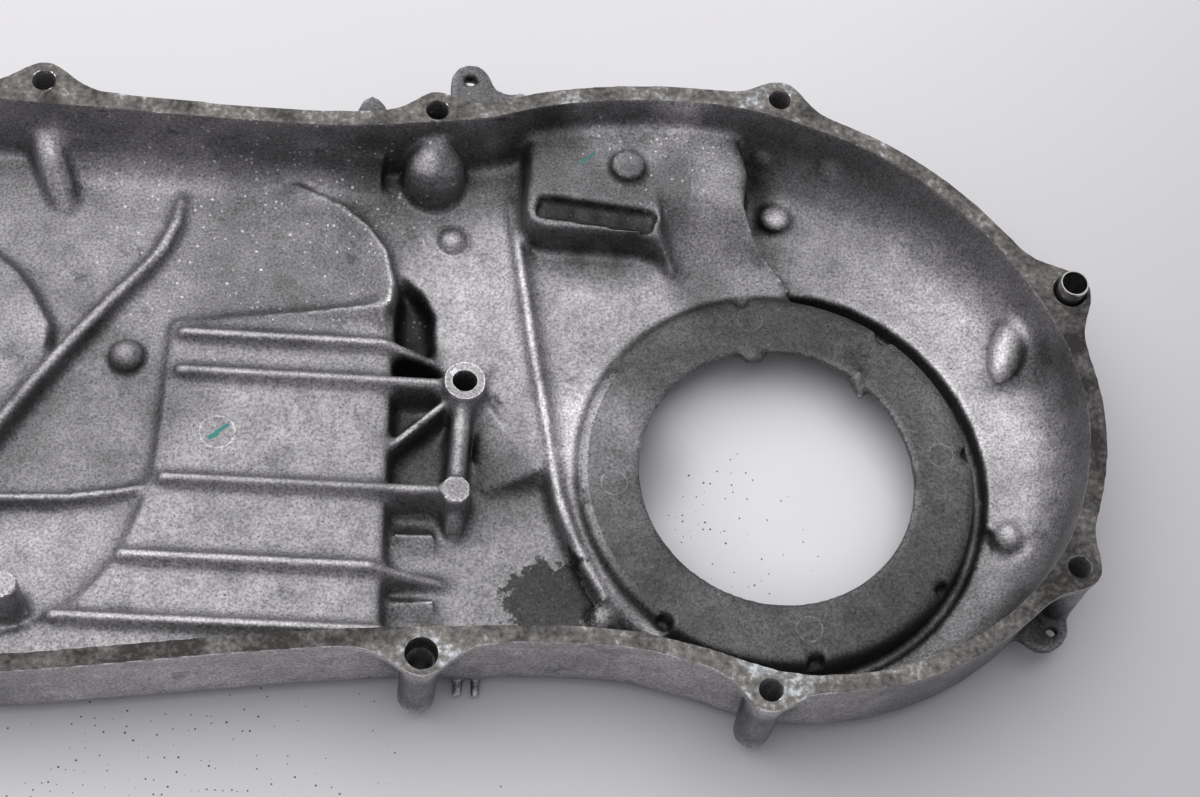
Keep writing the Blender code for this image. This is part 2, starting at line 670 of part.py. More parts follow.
def posts():
    """Two posts at the plateau's open side, with the webs that stiffen them."""
    x1, y1 = POST_1
    x2, y2 = POST_2
    made = column("post_1", POST_1, (POST_1_RADIUS + 0.9, POST_1_RADIUS), (BASE_Z, POST_1_Z), 28)
    join(made, column("post_2", POST_2, (POST_2_RADIUS + 0.9, POST_2_RADIUS), (BASE_Z, POST_2_Z), 20))
    join(made, rib("web_posts", [(x1, y1 - 2, 18.6), (x2, y2 + 1, 16.5)], 5.0, BASE_Z, draft=2.5))
    join(made, rib("web_foot", [(x2, y2, 17.5), (x2 + 0.2, y2 - 5.5, 13.0), (x2 + 0.3, y2 - 10, 4.6)],
                   5.2, BASE_Z, draft=3.0))
    join(made, rib("web_floor", [(x1, y1, 16.0), (-79.0, 16.4, 13.2), (-66.0, -0.4, 13.0)], 2.0, BASE_Z))
    side = [(x1 - 1, y1 - 1, 17.5), (-92.6, 15.0, 16.0), (-106.0, 2.6, 14.6)]
    join(made, rib("web_side", side, 2.2, BASE_Z))
    return made


def plateau_ribs():
    top = PLATEAU_Z + RIB_HEIGHT
    ends = {
        "rib_1": [(-109.0, top), (-101.0, top - 3.0), (-89.5, top - 6.5)],
        "rib_2": [(-104.0, top), (POST_1[0] - 2, top)],
        "rib_3": [(-104.0, top), (POST_2[0], top - 0.3)],
        "rib_4": [(-110.0, top), (-103.0, top - 5.0), (-88.5, 5.6)],
        "rib_5": [(-109.0, top), (-96.0, top)],
    }
    shift = {"rib_1": -4.6, "rib_2": 0.0, "rib_3": 0.6, "rib_4": 0.3, "rib_5": -2.4}
    made = []
    for name, (y, left) in RIBS.items():
        start = [(left, y, top - 1.2), (left + 1.6, y, top)]
        last = ends[name]
        run = [(x, y + (shift[name] if x > -108.0 else 0.0) * (x + 108.0) / 18.0, z) for x, z in last]
        made.append(rib(name, start + run, RIB_WIDTH, BASE_Z, draft=4.0))
    return made


def pins():
    """Round heads that the ejector pins left standing."""
    places = {"pin_dish": (PIN_DISH, 4.7, 10.0, 18.0), "pin_terrace": ((-91.3, 67.8), 4.5, 10.0, 16.0),
              "pin_floor": ((-47.7, -41.8), 4.1, 3.0, 9.5), "pin_volute": ((65.0, -13.2), 5.2, 4.0, 14.5)}
    return [dome(name, *size) for name, size in places.items()]


def forms():
    """Everything that rises from the deep floor."""
    made = [terrace(), ring(), pad(), plateau(), dish(), bowl(), bowl_crest(), hub(),
            posts()]
    made.append(volute("volute_upper", VOLUTE_UPPER, VOLUTE_UPPER_Z))
    made.append(volute("volute_lower", VOLUTE_LOWER, VOLUTE_LOWER_Z))
    made += plateau_ribs() + pins() + wall_pieces()
    for name, path, width in (("divider", DIVIDER, DIVIDER_WIDTH), ("long_rib", LONG_RIB, LONG_RIB_WIDTH)):
        made.append(rib(name, [tuple(p) for p in curve_through(path, 7.0, closed=False)], width, BASE_Z))
    made.append(rib("thin_rib", THIN_RIB, THIN_RIB_WIDTH, BASE_Z))
    return made


def core():
    """The hollow as the mould's core would be: a smooth pan, less every form that rises inside it."""
    outline = grown(rim_outline(WALL_STEP), -FLANGE_WIDTH)
    made = pan("core", outline, FLANGE_Z + 1, DEEP_FLOOR_Z, INSIDE_DRAFT, INSIDE_CORNER)
    for form in forms():
        cut(made, form)
    return made


def opening(casting):
    cut(casting, column("opening", (0, 0), (OPENING_RADIUS + 0.4, OPENING_RADIUS), (-2, RING_Z + 2), 64))
    for number in range(NOTCHES):
        turn = math.radians(NOTCH_TURN + 360 * number / NOTCHES)
        place = ((RING_RADIUS - 0.6) * math.cos(turn), (RING_RADIUS - 0.6) * math.sin(turn))
        depth = NOTCH_SHALLOW if 90 < math.degrees(turn) < 225 else NOTCH_DEPTH
        cut(casting, column("notch", place, (NOTCH_RADIUS, NOTCH_RADIUS + 0.3),
                            (RING_Z - depth, RING_Z + 2), 14))


def lugs(casting):
    """Small ears on the outside that hold the wiring and the splash guard."""
    for name, outline, (low, high) in (("loom_lug", LOOM_LUG, LOOM_LUG_Z), ("ear", EAR, EAR_Z),
                                       ("low_lug", LOW_LUG, LOW_LUG_Z)):
        join(casting, prism(name, curve_through(outline, 3.0), low, high))
    rx, ry = LOOM_HOLE_RADII
    oval = [(LOOM_HOLE[0] + p.x * rx, LOOM_HOLE[1] + p.y * ry) for p in circle((0, 0), 1.0, 18)]
    cut(casting, prism("loom_hole", oval, LOOM_LUG_Z[0] - 2, LOOM_LUG_Z[1] + 2))
    cut(casting, column("low_lug_hole", LOW_LUG_HOLE, (LOW_LUG_HOLE_RADIUS,) * 2,
                        (LOW_LUG_Z[0] - 2, LOW_LUG_Z[1] + 2), 16))
    half, high = PRONG_SIZE[0] / 2, PRONG_SIZE[1]
    for x in PRONGS:
        outline = [(x - half, PRONG_TIP_Y), (x + half, PRONG_TIP_Y), (x + half, PRONG_TIP_Y + 8),
                   (x - half, PRONG_TIP_Y + 8)]
        join(casting, prism("prong", outline, 1.2, 1.2 + high))


def under(name, outline, top, draft=8.0):
    return mesa(name, outline, -1.0, top - FLOOR, draft, edge=2.0)


def volute_hollow():
    """The hollow behind the upper stretch of the trough, one floor's thickness from it."""
    sections = []
    for k in range(12):
        turn = VOLUTE_HOLLOW[0] + (VOLUTE_HOLLOW[1] - VOLUTE_HOLLOW[0]) * k / 11
        inner, outer, bowl = volute_width(turn)
        top = VOLUTE_UPPER_Z
        section = [(inner + 4.0, -1.0), (inner + 5.0, top - FLOOR - 1.5), (inner + 6.5, top - FLOOR)]
        for angle in (-82, -66, -50):
            section.append((outer - bowl + (bowl + FLOOR) * math.cos(math.radians(angle)),
                            top + bowl + (bowl + FLOOR) * math.sin(math.radians(angle))))
        section.append((section[-1][0] + 0.5, -1.0))
        ray = (math.cos(math.radians(turn)), math.sin(math.radians(turn)))
        sections.append([(r * ray[0], r * ray[1], z) for r, z in section])
    return loft("volute_hollow", sections)


def outer_hollows(casting):
    """Hollows in the outer face, so that the floor keeps about one thickness under the raised forms."""
    front = under("front_hollow", circle(DISH_CENTRE, FRONT_HOLLOW, 32), DISH_Z)
    curve = (DISH_RADIUS ** 2 + DISH_DEPTH ** 2) / (2 * DISH_DEPTH)
    low = (DISH_CENTRE[0], DISH_CENTRE[1], DISH_Z - DISH_DEPTH + curve)
    cut(front, ball("front_curve", low, (curve + FLOOR,) * 3, segments=40, rings=40))
    ring_hollow = mesa("ring_hollow", circle((0, 0), RING_RADIUS - 4.5, 48), -1.0, RING_Z - RING_PLATE,
                       8.0, edge=2.0)
    for piece in (front, ring_hollow, volute_hollow(),
                  under("bowl_hollow", rounded(BOWL_HOLLOW, HOLLOW_CORNER), BOWL_FLOOR_Z),
                  under("plateau_hollow", rounded(PLATEAU_HOLLOW, HOLLOW_CORNER), PLATEAU_Z),
                  under("terrace_hollow", rounded(TERRACE_HOLLOW, HOLLOW_CORNER), TERRACE_Z),
                  under("pad_hollow", rounded(PAD_HOLLOW, HOLLOW_CORNER), PAD_HOLLOW_Z, 4.0),
                  mesa("near_relief", points_of(NEAR_RELIEF), -1.0, NEAR_RELIEF_Z, 30.0)):
        cut(casting, piece)


def bolt_holes(casting):
    for name, place in boss_places().items():
        cut(casting, column(f"hole_{name}", place, (BOLT_HOLE, BOLT_HOLE), (-2, FLANGE_Z + 2), 18))
    cut(casting, column("post_hole", POST_1, (POST_1_HOLE, POST_1_HOLE),
                        (DEEP_FLOOR_Z + 1, POST_1_Z + 2), 20))
    seat = DOWEL_RADIUS + DOWEL_GAP
    depth = DOWEL_LENGTH - DOWEL_PROUD + DOWEL_GAP
    for name in (DOWEL_BOSS, EMPTY_SEAT):
        place = BOSSES[name]
        cut(casting, column("seat", place, (seat, seat), (FLANGE_Z - depth, FLANGE_Z + 2), 26))
    cut(casting, column("seat_ring", BOSSES[DOWEL_BOSS], (DOWEL_SEAT_RADIUS,) * 2,
                        (FLANGE_Z - DOWEL_SEAT_DEPTH, FLANGE_Z + 3), 30))


def dowel():
    place = BOSSES[DOWEL_BOSS]
    low = FLANGE_Z + DOWEL_PROUD - DOWEL_LENGTH
    high = FLANGE_Z + DOWEL_PROUD
    outside = DOWEL_RADIUS
    made = column("locating_dowel", place, (outside - 0.15, outside, outside, outside - 0.15),
                  (low, low + 0.6, high - 0.6, high), 36)
    inside = DOWEL_RADIUS - DOWEL_WALL
    cut(made, column("dowel_bore", place, (inside, inside), (low - 2, high + 2), 36))
    return made


def finish(things):
    """Origin under the middle of the whole, smooth shading with crisp edges."""
    corners = [vert.co for thing in things for vert in thing.data.vertices]
    low = Vector([min(co[k] for co in corners) for k in range(3)])
    high = Vector([max(co[k] for co in corners) for k in range(3)])
    shift = Matrix.Translation(Vector((-(low.x + high.x) / 2, -(low.y + high.y) / 2, -low.z)))
    for thing in things:
        thing.data.transform(shift)
        bm = bmesh.new()
        bm.from_mesh(thing.data)
        bmesh.ops.dissolve_limit(bm, angle_limit=math.radians(FLAT_ANGLE), verts=bm.verts, edges=bm.edges)
        bmesh.ops.triangulate(bm, faces=bm.faces)
        bm.to_mesh(thing.data)
        bm.free()
        for face in thing.data.polygons:
            face.use_smooth = True
        thing.data.set_sharp_from_angle(angle=math.radians(SHARP_ANGLE))


def main():
    clear_scene()
    casting = shell()
    cut(casting, core())
    outer_hollows(casting)
    opening(casting)
    lugs(casting)
    bolt_holes(casting)
    casting.data.materials.append(material("cast_aluminium", CAST_COLOUR, 0.55))
    sleeve = dowel()
    sleeve.data.materials.append(material("dowel_steel", STEEL_COLOUR, 0.3))
    finish([casting, sleeve])


main()
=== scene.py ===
# %% [markdown]
# # Inside of a scooter's engine side cover
# The object is one aluminium casting with a hollow steel dowel pressed into its flange. It lies open side
# up on a pale table. The CAD model gives every form at its true place and size. This lesson dresses it:
# the casting gets the soft corners that molten metal leaves, and each surface gets the finish that its
# way of making gave it. First comes the frame, which is loaded as it is and never moved.

import math

import bpy
import numpy as np
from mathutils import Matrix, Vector


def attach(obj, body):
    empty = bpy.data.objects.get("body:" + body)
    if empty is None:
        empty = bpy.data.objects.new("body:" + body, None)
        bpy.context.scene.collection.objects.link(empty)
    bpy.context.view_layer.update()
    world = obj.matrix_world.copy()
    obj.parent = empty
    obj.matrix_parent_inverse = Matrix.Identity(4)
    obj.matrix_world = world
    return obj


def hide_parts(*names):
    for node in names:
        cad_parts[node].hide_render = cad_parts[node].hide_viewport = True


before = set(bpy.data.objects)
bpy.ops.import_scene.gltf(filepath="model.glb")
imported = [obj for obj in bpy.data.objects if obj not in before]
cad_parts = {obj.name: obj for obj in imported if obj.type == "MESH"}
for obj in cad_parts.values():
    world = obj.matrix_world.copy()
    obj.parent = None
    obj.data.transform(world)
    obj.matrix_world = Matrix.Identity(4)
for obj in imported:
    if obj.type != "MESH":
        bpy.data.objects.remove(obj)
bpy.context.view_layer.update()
MM = 0.001

# %% [markdown]
# ## Places on the cover
# The drawing of this cover measures from the centre of the round clutch opening. The frame's origin is
# under the middle of the whole part, so one shift turns a place on the drawing into a place in the scene.

# %% Places
OPENING_CENTRE = Vector((118.655, -19.245, 0.0))
FLANGE_Z = 38.0
POST_Z = 21.0
POST_PLACE = (-86.7, 20.2)
POST_RADIUS = 5.7
HOLES = [(-206.0, 96.6), (-97.8, 95.5), (-0.9, 106.7), (79.3, 50.0), (75.6, -32.9), (-7.4, -71.0),
         (-96.0, -65.6), (-296.8, 67.7), (-317.6, -9.9), (-267.0, -72.3)]


def at(x, y, z=0.0):
    """A place on the drawing, in millimetres, as metres in the scene."""
    return (Vector((x, y, z)) + OPENING_CENTRE) * MM


print("opening centre in m:", tuple(round(v, 4) for v in at(0, 0)))

# %% [markdown]
# ## Camera
# The photograph was taken from above the near side with a lens of moderate length. The camera's place
# and turn were worked out from the round opening, which is an ellipse in the picture, and from the ribs,
# which are parallel on the casting. A fixed place and a fixed turn keep the view repeatable.

# %% Camera
CAMERA_PLACE = (2.98, -312.27, 637.0)
CAMERA_TURN = (26.538, -6.326, 0.442)
SENSOR = 36.0
FOCAL_SHARE = 2542.0 / 1200.0

lens_data = bpy.data.cameras.new("photo_camera")
lens_data.sensor_fit = "HORIZONTAL"
lens_data.sensor_width = SENSOR
lens_data.lens = FOCAL_SHARE * SENSOR
lens_data.clip_start = 0.01
camera = bpy.data.objects.new("photo_camera", lens_data)
camera.location = Vector(CAMERA_PLACE) * MM
camera.rotation_euler = [math.radians(turn) for turn in CAMERA_TURN]
bpy.context.scene.collection.objects.link(camera)
bpy.context.scene.camera = camera
print("focal length in mm:", round(lens_data.lens, 1))

# %% [markdown]
# ## Small helpers
# Colours are picked as they look on a screen, as hex values, but a renderer adds light in linear numbers,
# so one function turns the first into the second. Another adds a shader node with its settings and links.
# A spot is a distance from a place in the scene, turned into a strength that fades out.

# %% Helpers
def colour(hex_value):
    """An sRGB hex colour as linear red, green, blue and alpha."""
    parts = [int(hex_value[k:k + 2], 16) / 255 for k in (1, 3, 5)]
    return [p / 12.92 if p <= 0.04045 else ((p + 0.055) / 1.055) ** 2.4 for p in parts] + [1.0]


def add(tree, kind, settings=None, links=None):
    """A shader node with its settings, and its inputs linked or set by name or number."""
    made = tree.nodes.new(kind)
    for name, value in (settings or {}).items():
        setattr(made, name, value)
    for name, value in (links or {}).items():
        if isinstance(value, bpy.types.NodeSocket):
            tree.links.new(value, made.inputs[name])
        else:
            made.inputs[name].default_value = value
    return made


# A colour mix has its two colours at these input numbers and its result at this output number.
MIX_A, MIX_B, MIX_OUT = 6, 7, 2


def new_material(name):
    """An empty material, its tree and its shader."""
    made = bpy.data.materials.new(name)
    made.use_nodes = True
    return made, made.node_tree, made.node_tree.nodes["Principled BSDF"]


def spot(tree, place, centre, full, clear):
    """One where the surface lies within the full radius of a place, falling to none at the clear one."""
    away = add(tree, "ShaderNodeVectorMath", {"operation": "DISTANCE"}, {0: place, 1: at(*centre)})
    fade = add(tree, "ShaderNodeMapRange", {"interpolation_type": "SMOOTHSTEP"},
               {"Value": away.outputs["Value"], "From Min": full * MM, "From Max": clear * MM,
                "To Min": 1.0, "To Max": 0.0})
    return fade.outputs["Result"]


print("mid grey is", round(colour("#808080")[0], 3), "in linear light")

# %% [markdown]
# ## Table
# The cover lies on a table covered with smooth pale paper. The paper's colour carries painted light: it is
# lighter at the far side and darker towards the near right corner, a painted fall-off of the light. It is a
# little lighter in the middle of the opening, a painted pool of light, and darker close to the opening's
# left edge, a painted shadow.

# %% Table
TABLE_SIZE = 6.0
TABLE_DROP = 0.0002
# Painted light fall-off: the paper is painted lighter at the far side and darker towards the near right
# corner.
TABLE_LIGHT, TABLE_DARK = "#EAE9EB", "#BFBEC1"
TABLE_SLOPE = (1.0, -1.0, 0.0)
TABLE_FADE = 0.37
OPENING_LIGHT_AND_SHADOW = [("#EDECEE", (10.0, -2.0, 0.0), 12.0, 40.0), ("#B4B3B6", (-40.0, 6.0, 0.0), 5.0, 24.0)]

bpy.ops.object.select_all(action="DESELECT")
bpy.ops.mesh.primitive_plane_add(size=TABLE_SIZE, location=(0, 0, -TABLE_DROP))
bpy.ops.object.transform_apply(location=True)
table = bpy.context.object
table.name = "table"
paper, tree, shader = new_material("pale_table_paper")
place = add(tree, "ShaderNodeTexCoord").outputs["Object"]
down = add(tree, "ShaderNodeVectorMath", {"operation": "DOT_PRODUCT"}, {0: place, 1: TABLE_SLOPE})
near = add(tree, "ShaderNodeMapRange", {}, {"Value": down.outputs["Value"], "From Min": 0.0,
                                            "From Max": TABLE_FADE})
sheet = add(tree, "ShaderNodeMix", {"data_type": "RGBA"},
            {"Factor": near.outputs["Result"], MIX_A: colour(TABLE_LIGHT), MIX_B: colour(TABLE_DARK)})
# A painted pool of light in the middle of the opening and a painted shadow close to its left edge.
for shade, centre, full, clear in OPENING_LIGHT_AND_SHADOW:
    sheet = add(tree, "ShaderNodeMix", {"data_type": "RGBA"},
                {"Factor": spot(tree, place, centre, full, clear), MIX_A: sheet.outputs[MIX_OUT],
                 MIX_B: colour(shade)})
print("table is", TABLE_SIZE, "m wide")

# %% [markdown]
# Dark crumbs of belt dust lie in the opening and near the front. Each is a dot in a cell of a Voronoi
# pattern. A cell's own random colour says how large its dot is and whether it has one, and the cells are
# filled more often close to the two heaps.

# %% Dust on the table
DUST_GAP = 2.0
DUST_COLOUR = "#5A5650"
DUST_SIZE, DUST_LEAST = 0.22, -0.07
DUST_SHARE = 0.5
HEAPS = [((-14.0, -12.0, 0.0), 2.0, 34.0), ((-160.0, -105.0, 0.0), 6.0, 90.0)]

cells = add(tree, "ShaderNodeTexVoronoi", {"voronoi_dimensions": "2D"},
            {"Vector": place, "Scale": 1 / (DUST_GAP * MM)})
chance = add(tree, "ShaderNodeSeparateColor", {}, {"Color": cells.outputs["Color"]})
radius = add(tree, "ShaderNodeMath", {"operation": "MULTIPLY_ADD"},
             {0: chance.outputs["Green"], 1: DUST_SIZE, 2: DUST_LEAST})
dot = add(tree, "ShaderNodeMath", {"operation": "LESS_THAN"},
          {0: cells.outputs["Distance"], 1: radius.outputs["Value"]})
heap = add(tree, "ShaderNodeMath", {"operation": "MAXIMUM"},
           {k: spot(tree, place, *HEAPS[k]) for k in (0, 1)})
odds = add(tree, "ShaderNodeMath", {"operation": "MULTIPLY"}, {0: heap.outputs["Value"], 1: DUST_SHARE})
often = add(tree, "ShaderNodeMath", {"operation": "LESS_THAN"},
            {0: chance.outputs["Red"], 1: odds.outputs["Value"]})
dusty = add(tree, "ShaderNodeMath", {"operation": "MULTIPLY"},
            {0: dot.outputs["Value"], 1: often.outputs["Value"]})
sheet = add(tree, "ShaderNodeMix", {"data_type": "RGBA"},
            {"Factor": dusty.outputs["Value"], MIX_A: sheet.outputs[MIX_OUT], MIX_B: colour(DUST_COLOUR)})
tree.links.new(sheet.outputs[MIX_OUT], shader.inputs["Base Color"])
shader.inputs["Roughness"].default_value = 0.6
shader.inputs["Specular IOR Level"].default_value = 0.25
table.data.materials.append(paper)
print("heaps of dust:", len(HEAPS))

# %% [markdown]
# ## Light
# One very large soft source hangs above and slightly behind the cover, and the rest of the room fills in.
# Metal shows what it reflects: level surfaces look up into the large source and come out bright, and steep
# walls look sideways into the room and come out dark.

# %% Light
SOFTBOX_PLACE = (-0.3, 0.35, 1.4)
SOFTBOX_SIZE = 2.0
SOFTBOX_POWER = 22.0
ROOM_STRENGTH = 0.6

lamp = bpy.data.lights.new("overhead_softbox", "AREA")
lamp.shape = "SQUARE"
lamp.size = SOFTBOX_SIZE
lamp.energy = SOFTBOX_POWER
softbox = bpy.data.objects.new("overhead_softbox", lamp)
softbox.location = SOFTBOX_PLACE
softbox.rotation_euler = (-Vector(SOFTBOX_PLACE)).to_track_quat("-Z", "Y").to_euler()
bpy.context.scene.collection.objects.link(softbox)

room = bpy.data.worlds.new("studio")
room.use_nodes = True
bpy.context.scene.world = room
room.node_tree.nodes["Background"].inputs["Color"].default_value = colour("#CCCACE")
room.node_tree.nodes["Background"].inputs["Strength"].default_value = ROOM_STRENGTH
bpy.context.scene.view_settings.view_transform = "Standard"

# %% [markdown]
# ## The casting's skin
# Die casting leaves no sharp inside corner: metal shrinks and flows into rounds of a millimetre or two
# wherever a rib or a boss meets the floor. The CAD model has plain edges there. The skin is a copy of the
# casting that is rebuilt as an even grid of small cells and then smoothed, which rounds every edge by
# about that much. The flange and the post were machined after casting, so they must stay flat and crisp:
# they start a little too high, and are cut back to their true height after the smoothing, as on the real
# part.

# %% Casting skin
MACHINING_STOCK = 0.8
CELL = 0.9
SMOOTH_STEPS = 5
SKIN_TRIANGLES = 190000
MERGE_DISTANCE = 0.005
LEVEL_MARGIN = 0.05
POST_MARGIN = 0.5

bpy.ops.object.select_all(action="DESELECT")
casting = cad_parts["cover_casting"]
skin = casting.copy()
skin.data = casting.data.copy()
skin.parent = None
skin.name = "cast_skin"
for key in list(skin.keys()):
    del skin[key]
bpy.context.scene.collection.objects.link(skin)
skin.select_set(True)
bpy.context.view_layer.objects.active = skin
bpy.ops.object.mode_set(mode="EDIT")
bpy.ops.mesh.select_all(action="SELECT")
bpy.ops.mesh.remove_doubles(threshold=MERGE_DISTANCE * MM)
bpy.ops.object.mode_set(mode="OBJECT")

post = at(*POST_PLACE)
for vert in skin.data.vertices:
    from_post = (vert.co.xy - post.xy).length / MM
    if vert.co.z / MM > FLANGE_Z - LEVEL_MARGIN:
        vert.co.z += MACHINING_STOCK * MM
    elif from_post < POST_RADIUS + POST_MARGIN and vert.co.z / MM > POST_Z - LEVEL_MARGIN:
        vert.co.z += MACHINING_STOCK * MM
print("skin starts with", len(skin.data.vertices), "points")

# %% [markdown]
# ## Cast-on forms
# Some small forms are cast on that the CAD model leaves out: the round at the foot of the far wall, a low
# lump beside the pad, two low ledges on the deep floor, a pin on the pad, metal that fills the valley along
# the ring's left side, and two pieces of flash on the opening's edge. Each starts as a primitive at its
# size and place, is cut or tapered, and is joined to the skin before the grid is made, which melts it in.

# %% Sizes of the cast-on forms
FOOT_CENTRE, FOOT_SIDES = (-156.0, 82.5, 17.5), (88.0, 13.0, 13.0)
FOOT_ROUND = 11.0
FOOT_CORNER = (87.4, 12.4)
FOOT_CUT_X, FOOT_CUT_LENGTH = -160.0, 100.0
LUMPS = [((1.6, 83.3, 11.0), (5.0, 4.2, 2.4)), ((-6.1, 37.4, 13.7), (3.9, 3.4, 1.9))]
LEDGES = [((-98.0, -22.4, 4.5), (11.0, 7.0, 3.6)), ((-98.6, -42.0, 4.5), (13.0, 7.0, 3.6))]
LEDGE_TURN = (math.radians(24), 0.0, math.radians(3))
PAD_PIN, PAD_PIN_RADIUS, PAD_PIN_HEIGHT = (-43.1, 87.6, 27.0), 4.8, 5.0
SPIKE_CENTRE, SPIKE_FOOT, SPIKE_TIP, SPIKE_LENGTH = (23.9, 28.9, 13.2), 3.2, 0.8, 7.5
SPIKE_TURN = (math.radians(90), 0.0, math.radians(8))
VALLEY_RADIUS, VALLEY_Z = 57.4, 7.5
VALLEY_LUMP = (3.2, 3.2, 4.2)
VALLEY_TURNS = range(148, 238, 3)

for turn in VALLEY_TURNS:
    along = math.radians(turn)
    LUMPS.append(((VALLEY_RADIUS * math.cos(along), VALLEY_RADIUS * math.sin(along), VALLEY_Z), VALLEY_LUMP))
print("lumps:", len(LUMPS))

# %% [markdown]
# Two helpers follow. One applies a modifier at once. The other finishes a new primitive: it fixes the
# place, turn and scale in the mesh and keeps the object for the joining.

# %% Helpers for the cast-on forms
cast_on = []


def apply_modifier(thing, kind, **settings):
    """Adds a modifier with its settings and applies it at once."""
    step = thing.modifiers.new(kind.lower(), kind)
    for name, value in settings.items():
        setattr(step, name, value)
    bpy.ops.object.select_all(action="DESELECT")
    thing.select_set(True)
    bpy.context.view_layer.objects.active = thing
    bpy.ops.object.modifier_apply(modifier=step.name)


def finish_primitive(name, turn=None):
    """Names the new primitive, sets its place into its mesh and keeps it for joining."""
    made = bpy.context.object
    made.name = name
    if turn:
        made.rotation_euler = turn
    bpy.ops.object.transform_apply(location=True, rotation=True, scale=True)
    cast_on.append(made)
    return made


print("cast-on forms to make:", len(LUMPS) + len(LEDGES) + 3)

# %% [markdown]
# The wall's foot is a long block with a round cut out of it by a boolean, which leaves the hollow curve of
# a fillet. The lumps are flattened spheres, the ledges tilted blocks, the spike a cone on its side.

# %% Making the cast-on forms
bpy.ops.object.select_all(action="DESELECT")
bpy.ops.mesh.primitive_cube_add(size=1.0, location=at(*FOOT_CENTRE), scale=[s * MM for s in FOOT_SIDES])
foot = finish_primitive("wall_foot")
bpy.ops.mesh.primitive_cylinder_add(
    vertices=48, radius=FOOT_ROUND * MM, depth=FOOT_CUT_LENGTH * MM,
    location=at(FOOT_CUT_X, FOOT_CORNER[0] - FOOT_ROUND, FOOT_CORNER[1] + FOOT_ROUND),
    rotation=(0.0, math.radians(90), 0.0))
bpy.ops.object.transform_apply(location=True, rotation=True, scale=True)
foot_round = bpy.context.object
apply_modifier(foot, "BOOLEAN", operation="DIFFERENCE", object=foot_round, solver="EXACT")
bpy.data.objects.remove(foot_round)
for centre, radii in LUMPS:
    bpy.ops.mesh.primitive_uv_sphere_add(segments=24, ring_count=12, radius=1.0, location=at(*centre),
                                         scale=[r * MM for r in radii])
    finish_primitive("lump")
for centre, sides in LEDGES:
    bpy.ops.mesh.primitive_cube_add(size=1.0, location=at(*centre), scale=[s * MM for s in sides])
    finish_primitive("ledge", turn=LEDGE_TURN)
bpy.ops.mesh.primitive_cylinder_add(vertices=40, radius=PAD_PIN_RADIUS * MM, depth=PAD_PIN_HEIGHT * MM,
                                    location=at(*PAD_PIN))
finish_primitive("pad_pin")
bpy.ops.mesh.primitive_cone_add(vertices=12, radius1=SPIKE_FOOT * MM, radius2=SPIKE_TIP * MM,
                                depth=SPIKE_LENGTH * MM, location=at(*SPIKE_CENTRE))
finish_primitive("flash_spike", turn=SPIKE_TURN)
print("cast-on forms:", len(cast_on))

# %% [markdown]
# ## Grid and rounds
# All the forms become one even grid of cells, and a few smoothing steps take the edges off.

# %% Grid
bpy.ops.object.select_all(action="DESELECT")
for made in cast_on:
    made.select_set(True)
skin.select_set(True)
bpy.context.view_layer.objects.active = skin
bpy.ops.object.join()
apply_modifier(skin, "REMESH", mode="VOXEL", voxel_size=CELL * MM, adaptivity=0.0)
print("after the grid:", len(skin.data.vertices), "points")
apply_modifier(skin, "SMOOTH", factor=0.5, iterations=SMOOTH_STEPS)

# %% [markdown]
# Molten metal fills inside corners more than it wears outside ones, so the hollows get more rounding than
# the crests. Some places stay crisp: most of the groove round the ring, the bolt holes, the pins, the pad's
# recess and the underside. One sharp corner of the pad is melted down on both sides.

# %% Points that may move
HOLE_KEEP = 6.5
KEEP_CRISP = [(x, y, HOLE_KEEP) for x, y in HOLES] + [
    (-43.1, 87.6, 7.5), (-100.3, 84.0, 12.0), (-178.5, 25.6, 7.0), (-91.3, 67.8, 7.0), (-51.0, 72.0, 19.0)]
GROOVE_KEEP = (53.0, 62.0)
GROOVE_OPEN_X, GROOVE_OPEN_Y = -36.0, 46.0
MELT_X, MELT_Y, MELT_RADIUS = -29.0, 63.5, 9.0
LEAST_LEAN = -0.3
BELOW_FLANGE = 1.5

count = len(skin.data.vertices)
points = np.empty(count * 3)
skin.data.vertices.foreach_get("co", points)
points = points.reshape(-1, 3)
normals = np.empty(count * 3)
skin.data.vertices.foreach_get("normal", normals)
normals = normals.reshape(-1, 3)
drawing = points / MM - np.array(OPENING_CENTRE)
from_opening = np.hypot(drawing[:, 0], drawing[:, 1])
free = (from_opening < GROOVE_KEEP[0]) | (from_opening > GROOVE_KEEP[1])
free |= (drawing[:, 0] < GROOVE_OPEN_X) & (np.abs(drawing[:, 1]) < GROOVE_OPEN_Y)
for x, y, radius in KEEP_CRISP:
    free &= np.hypot(drawing[:, 0] - x, drawing[:, 1] - y) > radius
melted = np.hypot(drawing[:, 0] - MELT_X, drawing[:, 1] - MELT_Y) < MELT_RADIUS
upward = (normals[:, 2] > LEAST_LEAN) & (drawing[:, 2] < FLANGE_Z - BELOW_FLANGE)
free &= upward
melted &= upward
print("points free to fill:", int(free.sum()), "of", count)

# %% [markdown]
# Each step moves a point half of the way to the mean of its neighbours, but only where that carries it
# outwards, which means that it sits in a hollow. The steps are written out with numpy, because the smooth
# modifier can't tell a hollow from a crest. The grid is then thinned to fewer triangles.

# %% Filling the hollows
HOLLOW_STEPS = 26
HOLLOW_PULL = 0.5

